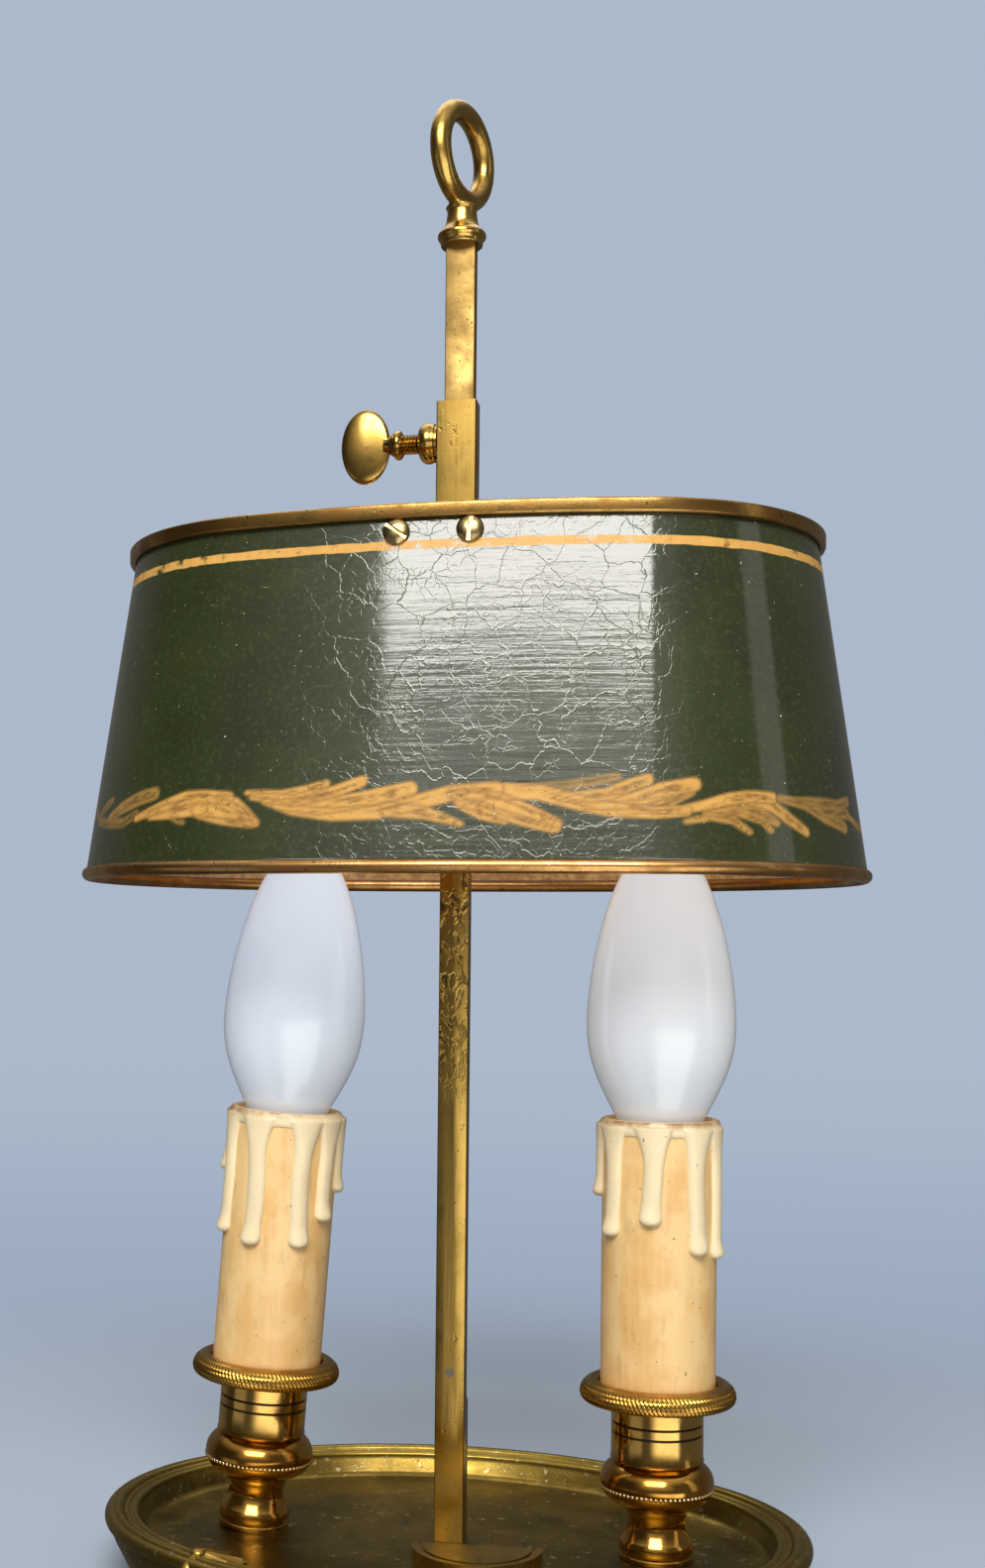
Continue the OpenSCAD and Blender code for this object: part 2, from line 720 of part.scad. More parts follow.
module shade_bead() color("#9a6d38") {
    on_shade() oval_sweep(shade_span, shade_side, shade_bottom_r) translate([-shade_t / 2, shade_low])
        polygon(arc(0, 0, bead_r, 0, 340, 17));
}

// place the child on the front or back wall, at each screw: its -Y points out of the wall
module each_screw() {
    up = (wall_top - screw_z) * shade_flare / shade_h;
    big = shade_top_r + up + shade_side + shade_shift;
    for (turn = [0, 180], x = [-1, 1]) rotate([0, 0, turn]) translate([0, shade_shift, 0])
        rotate([0, 0, asin(x * screw_gap / 2 / big)]) translate([0, -big, screw_z])
            rotate([-shade_angle, 0, 0]) children();
}

module screw_hole() {
    rotate([90, 0, 0]) translate([0, 0, -8]) cylinder(h = 12, r = m3_r + run_gap);
}

// strap across the shade: its ends turn up against the wall
module shade_strap() color("#a98236") {
    reach = shade_top_r + (wall_top - strap_z) * shade_flare / shade_h + shade_side - shade_t;
    inner = -shade_t - 0.02;
    on_shade() difference() {
        union() {
            intersection() {
                oval_sweep(shade_span, shade_side, shade_top_r) polygon([
                    wall_point(inner, flange_top), wall_point(inner - strap_t, flange_top),
                    wall_point(inner - strap_t, strap_z), wall_point(inner, strap_z)
                ]);
                translate([-strap_w / 2, -100, strap_z - 1]) cube([strap_w, 200, 30]);
            }
            translate([-strap_w / 2, 0.8 - reach, strap_z]) cube([strap_w, 2 * reach - 1.6, strap_t]);
        }
        each_screw() screw_hole();
        translate([sleeve_left - shade_right, -sleeve_y, strap_z - 1])
            cube([sleeve_right - sleeve_left, 2 * sleeve_y, strap_t + 2]);
    }
}
// a point beside the sloping wall: away from its outer face, at height z
function wall_point(away, z) = [away + (wall_top - z) * shade_flare / shade_h, z];

module strap_screws() color("#9a9178") {
    on_shade() each_screw() rotate([90, 0, 0]) difference() {
        union() {
            intersection() {
                translate([0, 0, 0.02]) cylinder(h = 2, r = screw_head_r);
                translate([0, 0, -1.6]) sphere(r = 3.2, $fn = 48);
            }
            translate([0, 0, -5.6]) cylinder(h = 5.7, r = m3_r);
        }
        rotate([0, 0, 90]) translate([-screw_head_r - 1, -0.35, 0.9]) cube([2 * screw_head_r + 2, 0.7, 3]);
    }
}

module strap_nuts() color("#a08644") {
    on_shade() each_screw() rotate([90, 0, 0]) translate([0, 0, -shade_t - strap_t - 0.35 - 2.2])
        nut(m3_r + 0.01, 5.5, 2.2);
}

// ---- sleeve and thumbscrew ----

module sleeve() color("#c39c42") {
    difference() {
        translate([sleeve_left, -sleeve_y, sleeve_low])
            cube([sleeve_right - sleeve_left, 2 * sleeve_y, sleeve_h]);
        translate([bore_left, -bore_y, sleeve_low - 1])
            cube([bore_right - bore_left, 2 * bore_y, sleeve_h + 2]);
        translate([bore_left - shoe_travel - 0.1, -shoe_w / 2 - run_gap, thumb_z - shoe_h / 2 - run_gap])
            cube([shoe_travel + 1, shoe_w + 2 * run_gap, shoe_h + 2 * run_gap]);
        translate([sleeve_left - 1, 0, thumb_z]) rotate([0, 90, 0]) cylinder(h = 3, r = thumb_r + run_gap);
        translate([-0.45, -sleeve_y - 0.8, sleeve_low - 1]) cube([0.3, 1.1, sleeve_h - 5]);
    }
}

// domed boss on the sleeve's side, threaded for the thumbscrew
module thumb_boss() color("#b8913d") {
    translate([sleeve_left, 0, thumb_z]) difference() {
        rotate([0, -90, 0]) rotate_extrude() polygon(concat(
            [[0, 0], [boss_r - 0.7, 0], [boss_r - 0.7, 0.5], [boss_r - 0.3, 0.7]],
            arc(boss_r - 2.3, 2.4, 2.3, -30, 90, 10),
            [[0, boss_len]]
        ));
        translate([-boss_len - 1, 0, 0]) rotate([0, 90, 0]) cylinder(h = boss_len + 2, r = thumb_r + run_gap);
        translate([bore_left - shoe_travel - 0.1 - sleeve_left, -shoe_w / 2 - run_gap, -shoe_h / 2 - run_gap])
            cube([shoe_travel + 1, shoe_w + 2 * run_gap, shoe_h + 2 * run_gap]);
    }
}

module thumbscrew() color("#c6a24c") {
    tip = shoe_x - 0.02;
    out = boss_x - thumb_out;
    translate([0, 0, thumb_z]) {
        translate([out, 0, 0]) rotate([0, 90, 0]) cylinder(h = tip - out, r = thumb_r);
        translate([out, 0, 0]) rotate([0, -90, 0]) rotate_extrude() polygon(concat(
            [[0, -0.2], [2.7, 0]], arc(2.5, 1.1, 1.1, -70, 70, 8),
            [[2.7, 2.4], [2.3, 3], [1.6, 4.4], [0, 4.6]]
        ));
        translate([out - 3.2 - thumb_plate_w, 0.9, 0]) rotate([90, 0, 0]) linear_extrude(1.8)
            scale([thumb_plate_w, thumb_plate_h]) circle(r = 1, $fn = 72);
    }
}

module pressure_shoe() color("#8f7638") {
    translate([shoe_x, -shoe_w / 2, thumb_z - shoe_h / 2]) cube([shoe_t, shoe_w, shoe_h]);
}

tray();
leaf_mounts();
plaque();
bottom_plate();
felt_pad();
plate_screws();
cord_grommet();
joining_block();
block_screws();
wires_left();
wires_right();
stem();
stem_plug();
stem_brace();
stem_washer();
stem_nut();
finial();
socket_left();
socket_right();
nipple_left();
nipple_right();
nipple_washers();
nipple_nuts();
drip_pan_left();
drip_pan_right();
candle_left();
candle_right();
wax_drips_left();
wax_drips_right();
lampholder_left();
lampholder_right();
screw_shell_left();
screw_shell_right();
contact_left();
contact_right();
bulb_glass_left();
bulb_glass_right();
bulb_cap_left();
bulb_cap_right();
bulb_foot_left();
bulb_foot_right();
bulb_pip_left();
bulb_pip_right();
shade_wall();
shade_lip();
shade_bead();
shade_strap();
strap_screws();
strap_nuts();
sleeve();
thumb_boss();
thumbscrew();
pressure_shoe();
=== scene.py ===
import math

import bmesh
import bpy
import numpy as np
from mathutils import Matrix, Vector


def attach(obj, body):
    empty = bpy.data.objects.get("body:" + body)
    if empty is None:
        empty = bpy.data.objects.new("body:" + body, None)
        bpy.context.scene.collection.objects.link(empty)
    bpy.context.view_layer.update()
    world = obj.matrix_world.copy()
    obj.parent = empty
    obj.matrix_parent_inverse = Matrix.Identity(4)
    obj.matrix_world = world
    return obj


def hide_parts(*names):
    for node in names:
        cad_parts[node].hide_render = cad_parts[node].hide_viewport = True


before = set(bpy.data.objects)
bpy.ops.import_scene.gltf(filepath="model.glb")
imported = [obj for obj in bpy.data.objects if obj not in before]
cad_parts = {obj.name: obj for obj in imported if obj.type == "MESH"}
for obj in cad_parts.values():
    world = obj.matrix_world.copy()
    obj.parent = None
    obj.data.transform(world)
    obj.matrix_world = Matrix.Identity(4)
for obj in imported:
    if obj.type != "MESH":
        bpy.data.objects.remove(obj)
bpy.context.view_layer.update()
scene = bpy.context.scene

# ---- camera ----
# The camera stands 455 mm from the stem and 156 mm above the table, a little to the lamp's right,
# and looks level. The lens was worked out from the outlines of the candles, dish and shade.
mm = 0.001
camera_turn = math.radians(13.71)
camera_roll = math.radians(0.551)
camera_place = Vector((72.5, -450.7, 155.8)) * mm
focal_px, photo_w, photo_h = 1865.5, 994, 1582
centre_px = (310.1, 957.9)

lens = bpy.data.cameras.new("camera")
lens.sensor_fit = "HORIZONTAL"
lens.sensor_width = 36
lens.lens = focal_px * 36 / photo_w
lens.shift_x = (photo_w / 2 - centre_px[0]) / photo_w
lens.shift_y = (centre_px[1] - photo_h / 2) / photo_w
lens.clip_start = 0.01
camera = bpy.data.objects.new("camera", lens)
scene.collection.objects.link(camera)
level = Vector((math.cos(camera_turn), math.sin(camera_turn), 0))
ahead = Vector((-math.sin(camera_turn), math.cos(camera_turn), 0))
upright = Vector((0, 0, 1))
right_axis = level * math.cos(camera_roll) + upright * math.sin(camera_roll)
up_axis = upright * math.cos(camera_roll) - level * math.sin(camera_roll)
turn = Matrix((right_axis, up_axis, -ahead)).transposed()
camera.matrix_world = Matrix.Translation(camera_place) @ turn.to_4x4()
scene.camera = camera
scene.view_settings.view_transform = "Standard"


# ---- room and lamps ----
# A plain blue-grey room: a bright window in front with dimmer lower panes, a narrow window on the
# right and a soft ceiling. Patches of lit floor give the turned brass something to mirror.
# The table top fades into the room's colour a little way from the lamp.
def put(tree, kind, inputs=None, **settings):
    """A new node, with its inputs linked or set; returns the node."""
    made = tree.nodes.new(kind)
    for name, value in settings.items():
        setattr(made, name, value)
    for name, value in (inputs or {}).items():
        if isinstance(value, bpy.types.NodeSocket):
            tree.links.new(value, made.inputs[name])
        else:
            made.inputs[name].default_value = value
    return made


def calc(tree, operation, a, b=0.0, clamp=False):
    """One step of arithmetic."""
    return put(tree, "ShaderNodeMath", {0: a, 1: b}, operation=operation, use_clamp=clamp).outputs[0]


def times(tree, a, b):
    """The product of two values."""
    return calc(tree, "MULTIPLY", a, b)


def ease(tree, value, low, high, to_low=0.0, to_high=1.0):
    """Value taken smoothly from low..high to to_low..to_high."""
    ends = {0: value, 1: low, 2: high, 3: to_low, 4: to_high}
    return put(tree, "ShaderNodeMapRange", ends, interpolation_type="SMOOTHSTEP").outputs[0]


def band(tree, value, start, full, fading, end):
    """One where value is between full and fading, and nothing outside start and end."""
    return times(tree, ease(tree, value, start, full), ease(tree, value, fading, end, 1.0, 0.0))


def blend(tree, amount, a, b, way="MIX"):
    """Two colours mixed."""
    made = put(tree, "ShaderNodeMix", {0: amount, 6: a, 7: b}, data_type="RGBA", blend_type=way)
    return made.outputs[2]


room_colour = (0.415, 0.487, 0.597, 1)
room = bpy.data.worlds.new("room")
scene.world = room
room.use_nodes = True
sky = room.node_tree
way_out = put(sky, "ShaderNodeTexCoord").outputs["Generated"]
towards = put(sky, "ShaderNodeSeparateXYZ", {0: way_out}).outputs
bearing = calc(sky, "ARCTAN2", towards[0], times(sky, towards[1], -1.0))
below = ease(sky, towards[2], -0.13, -0.03, 1.0, 0.0)
lit_floor = times(sky, band(sky, bearing, -0.30, 0.14, 0.92, 1.12), 1.9)
left_floor = times(sky, band(sky, bearing, -1.3, -1.1, -0.7, -0.5), 0.3)
floor_glow = calc(sky, "ADD", lit_floor, left_floor)
sill = times(sky, band(sky, bearing, -0.7, -0.25, 0.4, 0.8), ease(sky, towards[2], 0.10, 0.34))
glow = calc(sky, "ADD", ease(sky, bearing, -0.9, -0.2, 0.05, 0.12), times(sky, below, floor_glow))
glow = calc(sky, "ADD", glow, times(sky, sill, 0.38))
glow = calc(sky, "ADD", glow, ease(sky, towards[2], 0.5, 0.95, 0.0, 0.6))
back_left = ease(sky, calc(sky, "SUBTRACT", towards[1], towards[0]), 0.9, 1.35, 0.0, 0.09)
glow = calc(sky, "ADD", glow, back_left)
room_light = put(sky, "ShaderNodeBackground", {0: (1.0, 0.975, 0.93, 1), 1: glow}).outputs[0]
wall_tone = blend(sky, ease(sky, towards[2], -0.19, -0.05), (0.332, 0.408, 0.53, 1), room_colour)
room_seen = put(sky, "ShaderNodeBackground", {0: wall_tone, 1: 1.0}).outputs[0]
seen = put(sky, "ShaderNodeLightPath").outputs["Is Camera Ray"]
shown = put(sky, "ShaderNodeMixShader", {0: seen, 1: room_light, 2: room_seen}).outputs[0]
sky.links.new(shown, sky.nodes["World Output"].inputs[0])


def window(name, place, look_at, wide, tall, power, colour):
    """A rectangular soft lamp."""
    lamp = bpy.data.lights.new(name, "AREA")
    lamp.shape = "RECTANGLE"
    lamp.size, lamp.size_y, lamp.energy, lamp.color = wide, tall, power, colour
    holder = bpy.data.objects.new(name, lamp)
    scene.collection.objects.link(holder)
    holder.location = place
    holder.rotation_euler = (Vector(look_at) - Vector(place)).to_track_quat("-Z", "Y").to_euler()


window("front window", (0.046, -0.83, 0.86), (0, 0, 0.2), 0.70, 0.44, 12.0, (1.0, 0.975, 0.93))
window("lower panes", (0.052, -0.96, 0.62), (0, 0, 0.2), 0.70, 0.13, 0.34, (1.0, 0.975, 0.93))
window("right window", (1.0, -0.12, 0.42), (0, 0, 0.2), 0.25, 0.9, 0.4, (1.0, 0.97, 0.92))
window("ceiling", (-0.2, 0.5, 1.25), (0, 0, 0.1), 1.0, 1.0, 4.0, (1.0, 0.98, 0.95))


def tune(shader, values):
    """Set a shader's plain numbers and colours."""
    for name, value in values.items():
        shader.inputs[name].default_value = value


table = bmesh.new()
bmesh.ops.create_circle(table, cap_ends=True, segments=96, radius=1.2)
table_mesh = bpy.data.meshes.new("table top")
table.to_mesh(table_mesh)
table.free()
table_top = bpy.data.objects.new("table_top", table_mesh)
scene.collection.objects.link(table_top)
cloth = bpy.data.materials.new("table top")
cloth.use_nodes = True
tree = cloth.node_tree
spot = put(tree, "ShaderNodeTexCoord").outputs["Object"]
away = put(tree, "ShaderNodeVectorMath", {0: spot}, operation="LENGTH").outputs["Value"]
shader = tree.nodes["Principled BSDF"]
tune(shader, {"Base Color": (0.37, 0.44, 0.54, 1), "Roughness": 0.7, "Specular IOR Level": 0.2})
gone = put(tree, "ShaderNodeBsdfTransparent").outputs[0]
fading = {0: ease(tree, away, 0.16, 0.5), 1: shader.outputs[0], 2: gone}
fading = put(tree, "ShaderNodeMixShader", fading).outputs[0]
tree.links.new(fading, tree.nodes["Material Output"].inputs[0])
table_mesh.materials.append(cloth)
table_top.visible_glossy = False


# ---- dish ----
# Heavy oval brass dish, cast and turned: a flat floor, a cavetto, three ridges and a plain skirt.
# The brass has gone olive, with scratches, pale specks and a brown stain in the inner corner.
def draw_line(bm, points, closed=True):
    """A line in the XZ plane through (x, z) in millimetres, closed on itself or open."""
    line = [bm.verts.new((x * mm, 0, z * mm)) for x, z in points]
    return line + [bm.edges.new((line[i - 1], line[i])) for i in range(0 if closed else 1, len(line))]


def bow(x, z, r, start, end, steps):
    """Points of an arc, angles in degrees."""
    turns = [math.radians(start + (end - start) * i / steps) for i in range(steps + 1)]
    return [(x + r * math.cos(t), z + r * math.sin(t)) for t in turns]


def turn_by(bm, degrees, axis):
    """Turn a whole bmesh about an axis through the origin."""
    turn = Matrix.Rotation(math.radians(degrees), 3, axis)
    bmesh.ops.rotate(bm, verts=bm.verts, cent=(0, 0, 0), matrix=turn)


def shift_by(bm, x, y, z):
    """Move a whole bmesh, in millimetres."""
    bmesh.ops.translate(bm, verts=bm.verts, vec=(x * mm, y * mm, z * mm))


def oval_piece(outline, span, side, end_r, step=1.2):
    """Sweep an outline round a four-arc oval: x in the outline is the distance outside end_r."""
    bm = bmesh.new()
    shift = (span * span - side * side) / (2 * side)
    half = math.atan2(shift, span)
    live = draw_line(bm, [(end_r + side + x, z) for x, z in outline])
    turn_by(bm, -90, "Z")
    quarter = math.pi / 2 - half
    long_r = (end_r + side + shift) * mm
    arcs = [
        ((0, shift), quarter, long_r), ((span, 0), 2 * half, end_r * mm),
        ((0, -shift), 2 * quarter, long_r), ((-span, 0), 2 * half, end_r * mm), ((0, shift), quarter, long_r),
    ]
    for (x, y), sweep, radius in arcs:
        made = bmesh.ops.spin(
            bm, geom=live, cent=(x * mm, y * mm, 0), axis=(0, 0, 1), angle=sweep,
            steps=max(4, round(sweep * radius / (step * mm))), use_duplicate=False,
        )
        live = made["geom_last"]
    bmesh.ops.remove_doubles(bm, verts=bm.verts, dist=0.00002)
    return bm


def piece(bm, name, coat, body, stands_for=(), sharp=35):
    """Turn a bmesh into a finished piece that rides on a body."""
    bmesh.ops.recalc_face_normals(bm, faces=bm.faces)
    mesh = bpy.data.meshes.new(name)
    bm.to_mesh(mesh)
    bm.free()
    mesh.shade_smooth()
    mesh.set_sharp_from_angle(angle=math.radians(sharp))
    mesh.materials.append(coat)
    made = bpy.data.objects.new(name, mesh)
    scene.collection.objects.link(made)
    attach(made, body)
    if stands_for:
        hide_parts(*stands_for)
    return made


def coat(name, roughness=0.5, metallic=0.0):
    """A new material: returns it, its node tree, its shader and its object coordinates."""
    made = bpy.data.materials.new(name)
    made.use_nodes = True
    shader = made.node_tree.nodes["Principled BSDF"]
    tune(shader, {"Roughness": roughness, "Metallic": metallic})
    return made, made.node_tree, shader, put(made.node_tree, "ShaderNodeTexCoord").outputs["Object"]


def grain(tree, where, scale, detail=4.0, stretch=None, rough=0.55, warp=0.0):
    """Noise of the given scale per metre, stretched along an axis if asked."""
    if stretch:
        where = put(tree, "ShaderNodeMapping", {"Vector": where, "Scale": stretch}).outputs[0]
    settings = {"Vector": where, "Scale": scale, "Detail": detail, "Roughness": rough, "Distortion": warp}
    return put(tree, "ShaderNodeTexNoise", settings).outputs[0]


def height_of(tree, where):
    """The height of each place."""
    return put(tree, "ShaderNodeSeparateXYZ", {0: where}).outputs[2]


def relief(tree, shader, height, depth, side="Normal"):
    """Bump of a height field, depth in millimetres, on top of any already there."""
    had = shader.inputs[side].links
    inputs = {"Strength": 1.0, "Distance": depth * mm, "Height": height}
    if had:
        inputs["Normal"] = had[0].from_socket
    made = put(tree, "ShaderNodeBump", inputs)
    tree.links.new(made.outputs[0], shader.inputs[side])


def paint(tree, shader, colour):
    """Colour a shader from nodes."""
    tree.links.new(colour, shader.inputs["Base Color"])


def brass(name, bright, worn, dark, rough, cloud=90, spots=0.5, brushed=None, pits=0.02):
    """Old brass: clouds of tarnish, small dark spots, fine pits, and brush marks along one way."""
    made, tree, shader, where = coat(name, rough, 1.0)
    clouds = grain(tree, where, cloud, 6, warp=0.6)
    colour = blend(tree, ease(tree, clouds, 0.36, 0.66), bright, worn)
    fleck = ease(tree, grain(tree, where, 1100, 3), 0.62, 0.72, 0.0, spots)
    colour = blend(tree, fleck, colour, dark)
    spot_field = ease(tree, grain(tree, where, 420, 2), 0.66, 0.74, 0.0, spots)
    colour = blend(tree, spot_field, colour, dark)
    stretch = brushed or (1, 1, 1)
    marks = grain(tree, where, 1500, 3, stretch=stretch)
    colour = blend(tree, ease(tree, marks, 0.35, 0.75, 0.0, 0.35), colour, worn)
    paint(tree, shader, colour)
    rougher = ease(tree, clouds, 0.3, 0.7, rough - 0.06, rough + 0.10)
    tree.links.new(calc(tree, "ADD", rougher, times(tree, fleck, 0.2)), shader.inputs["Roughness"])
    relief(tree, shader, marks, pits)
    relief(tree, shader, calc(tree, "SUBTRACT", 1.0, spot_field), pits * 2)
    return made, tree, shader, where


dish_span, dish_side, dish_end_r = 33.6, 11.2, 52.8
floor_z, rim_z, under_z = 11.0, 17.7, 9.5
dish_coat, tree, shader, where = brass(
    "olive brass", (0.34, 0.235, 0.044, 1), (0.19, 0.132, 0.024, 1), (0.06, 0.036, 0.010, 1), 0.34,
    cloud=60, spots=0.45, pits=0.03,
)
height = height_of(tree, where)
corner = band(tree, height, 0.0108, 0.0125, 0.0135, 0.0158)
corner = times(tree, corner, ease(tree, grain(tree, where, 55, 4), 0.35, 0.62))
base = shader.inputs["Base Color"].links[0].from_socket
floor_part = ease(tree, height, 0.0112, 0.0118, 1.0, 0.0)
stained = ease(tree, grain(tree, where, 48, 5, warp=0.8), 0.38, 0.60, 0.15, 0.8)
base = blend(tree, times(tree, floor_part, stained), base, (0.115, 0.082, 0.016, 1))
base = blend(tree, times(tree, corner, 0.55), base, (0.075, 0.036, 0.012, 1))
pale = ease(tree, grain(tree, where, 480, 3), 0.635, 0.69, 0.0, 0.7)
base = blend(tree, pale, base, (0.55, 0.47, 0.30, 1))
scratch = band(tree, grain(tree, where, 130, 1, stretch=(1, 9, 1)), 0.495, 0.5, 0.5, 0.505)
base = blend(tree, times(tree, scratch, 0.6), base, (0.55, 0.47, 0.30, 1))
paint(tree, shader, base)

ridge = rim_z - 1.1
dish_outline = (
    [(-9, 0.8), (-7.4, 0.8), (-6.9, 2), (-4.6, 6.5), (-2.2, 11.2), (-1.9, 13.5)]
    + bow(-1.8, ridge - 1, 1.8, -70, 80, 14) + bow(-3.4, ridge, 1.1, 30, 150, 10)
    + bow(-5.4, ridge - 0.4, 0.9, 30, 150, 10) + bow(-7.4, ridge - 0.6, 0.9, 40, 190, 10)
    + [(-8.6, rim_z - 2.6), (-9.0, rim_z - 3.5), (-9.4, floor_z + 2.4)]
    + bow(-12.2, floor_z + 2.6, 2.6, -20, -90, 10)
    + [(-16, floor_z), (-16, under_z), (-11.6, under_z), (-9.2, floor_z + 0.2), (-8.2, 13.3)]
    + [(-5, 13.5), (-4.5, 10.7), (-8.4, 2.6), (-9, 2)]
)
bm = oval_piece(dish_outline, dish_span, dish_side, dish_end_r)


def on_floor(vert):
    """Whether a point lies on the dish's flat floor, inside the inner end of its outline."""
    past_centre = max(0, abs(vert.co.x) - dish_span * mm)
    return abs(vert.co.x) < 70.6 * mm and math.hypot(past_centre, vert.co.y) < 48.2 * mm


for z in (floor_z, under_z):
    inner = [
        e for e in bm.edges
        if all(abs(v.co.z - z * mm) < 1e-5 and on_floor(v) for v in e.verts)
        and any(abs(f.normal.z) < 0.5 for f in e.link_faces)
    ]
    bmesh.ops.contextual_create(bm, geom=inner)
wall_faces = [
    f for f in bm.faces
    if len(f.verts) == 4 and abs(f.normal.z) < 0.1
    and all(under_z * mm - 1e-5 < v.co.z < floor_z * mm + 1e-5 and on_floor(v) for v in f.verts)
]
bmesh.ops.delete(bm, geom=wall_faces, context="FACES_ONLY")
dish = piece(bm, "dish", dish_coat, "base", ["tray"], sharp=40)


def cut_hole(target, tool_bm):
    """Take a closed shape out of a piece, and leave plain mesh behind."""
    tool_mesh = bpy.data.meshes.new("tool")
    tool_bm.to_mesh(tool_mesh)
    tool_bm.free()
    tool = bpy.data.objects.new("tool", tool_mesh)
    scene.collection.objects.link(tool)
    step = target.modifiers.new("cut", "BOOLEAN")
    step.object, step.operation, step.solver = tool, "DIFFERENCE", "EXACT"
    bpy.context.view_layer.update()
    result = bpy.data.meshes.new_from_object(target.evaluated_get(bpy.context.evaluated_depsgraph_get()))
    target.modifiers.clear()
    old, target.data = target.data, result
    result.name = old.name
    bpy.data.objects.remove(tool)


def drill(target, r, at, segments):
    """Drill a round hole from front to back through a piece: its radius and middle in millimetres."""
    tool = bmesh.new()
    bmesh.ops.create_cone(
        tool, cap_ends=True, segments=segments, radius1=r * mm, radius2=r * mm, depth=9 * mm
    )
    turn_by(tool, 90, "X")
    shift_by(tool, *at)
    cut_hole(target, tool)


outlet_r, outlet_y, outlet_z = 4.35, 59.4, 6.2
drill(dish, outlet_r, (0, outlet_y, outlet_z), 64)

# ---- leaf mounts and plaque ----
# Two small cast mounts of fanned leaves lie over the dish's front rim, one turned down outside it.
# A low half-moon plaque with a raised border stands in front of the stem.
cast_coat = brass(
    "worn casting", (0.50, 0.34, 0.08, 1), (0.30, 0.195, 0.042, 1), (0.08, 0.05, 0.014, 1), 0.34,
    cloud=120, spots=0.5, pits=0.04,
)[0]


def place_by(bm, matrix):
    """Put a whole bmesh in its place."""
    bmesh.ops.transform(bm, matrix=matrix, verts=bm.verts)


def cast_leaf(bm, long, half, tilt, turn_by, at, droop=0.0):
    """One pointed leaf with a midrib and side veins, bent down along its length."""
    made = bmesh.ops.create_grid(bm, x_segments=14, y_segments=10, size=0.5)["verts"]
    for v in made:
        s, t = v.co.x + 0.5, v.co.y * 2
        width = half * (math.sin(math.pi * min(1, s * 0.93 + 0.07)) ** 0.7 + 0.04)
        vein = 0.16 * math.cos((abs(t) * 1.5 - s * 5) * math.pi)
        crown = 0.75 * (1 - abs(t) ** 1.6) + 0.35 * math.exp(-((t / 0.16) ** 2))
        crown += vein * abs(t) * (1 - abs(t))
        v.co = Vector((long * s, width * t, crown - droop * s * s - 0.25)) * mm
    rims = [e for e in bm.edges if e.is_boundary and all(v in set(made) for v in e.verts)]
    lower = bmesh.ops.extrude_edge_only(bm, edges=rims)["geom"]
    under = [g for g in lower if isinstance(g, bmesh.types.BMVert)]
    for v in under:
        v.co.z -= 0.7 * mm
    bmesh.ops.contextual_create(bm, geom=[e for e in bm.edges if all(v in set(under) for v in e.verts)])
    place = Matrix.Translation(Vector(at) * mm)
    place = place @ Matrix.Rotation(turn_by, 4, "Z") @ Matrix.Rotation(tilt, 4, "Y")
    bmesh.ops.transform(bm, matrix=place, verts=made + under)
    return made + under


for side in (-1, 1):
    bm = bmesh.new()
    for angle in (-78, -46, -15, 15, 46, 78):
        length = 9 + 3.5 * abs(math.sin(math.radians(angle)))
        facing = math.radians(180 + angle)
        cast_leaf(bm, length, 1.75, math.radians(12), facing, (-3.6, 0, rim_z - 0.1), 0.3)
    cast_leaf(bm, 5.4, 2.0, math.radians(14), 0, (-3.6, 0, rim_z), 0.5)
    cast_leaf(bm, 6.4, 1.9, math.radians(70), 0, (1.0, 0, rim_z - 0.9), 0.2)
    knot = bmesh.ops.create_uvsphere(bm, u_segments=20, v_segments=12, radius=1.9 * mm)["verts"]
    bmesh.ops.scale(bm, verts=knot, vec=(1, 1, 0.55))
    bmesh.ops.translate(bm, verts=knot, vec=(-3.6 * mm, 0, (rim_z + 0.2) * mm))
    outward = math.radians(-70 if side > 0 else 250)
    place = Matrix.Translation((side * dish_span * mm, 0, 0)) @ Matrix.Rotation(outward, 4, "Z")
    place = place @ Matrix.Translation((dish_end_r * mm, 0, 0))
    place_by(bm, place)
    name = "leaf_mount_left" if side < 0 else "leaf_mount_right"
    piece(bm, name, cast_coat, "base", ["leaf_mounts"] if side < 0 else [], sharp=60)


def dress(names, material):
    """Give a material to solids that are shown as they are."""
    for name in names:
        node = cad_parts[name]
        node.data.materials.clear()
        node.data.materials.append(material)


dress(["plaque"], cast_coat)

# ---- under the dish ----
# A painted steel plate and a felt pad close the dish from below, on four slotted screws.
# A rubber grommet at the back lets the cord out, and a ceramic block joins the wires inside.
steel_coat, tree, shader, where = coat("dull steel", 0.45, 1.0)
paint(tree, shader, blend(tree, grain(tree, where, 200, 5), (0.30, 0.28, 0.25, 1), (0.45, 0.43, 0.38, 1)))
relief(tree, shader, grain(tree, where, 2500, 3), 0.02)
felt_coat, tree, shader, where = coat("green felt", 0.95)
paint(tree, shader, blend(tree, grain(tree, where, 900, 6), (0.018, 0.055, 0.028, 1), (0.05, 0.12, 0.06, 1)))
tune(shader, {"Sheen Weight": 0.4})
relief(tree, shader, grain(tree, where, 3000, 6, rough=0.8), 0.25)
rubber_coat, tree, shader, where = coat("black rubber", 0.6)
tone = blend(tree, grain(tree, where, 500, 4), (0.012, 0.012, 0.011, 1), (0.03, 0.028, 0.026, 1))
paint(tree, shader, tone)
ceramic_coat, tree, shader, where = coat("cream ceramic", 0.25)
paint(tree, shader, blend(tree, grain(tree, where, 150, 5), (0.78, 0.74, 0.62, 1), (0.68, 0.62, 0.48, 1)))
relief(tree, shader, grain(tree, where, 600, 3), 0.05)
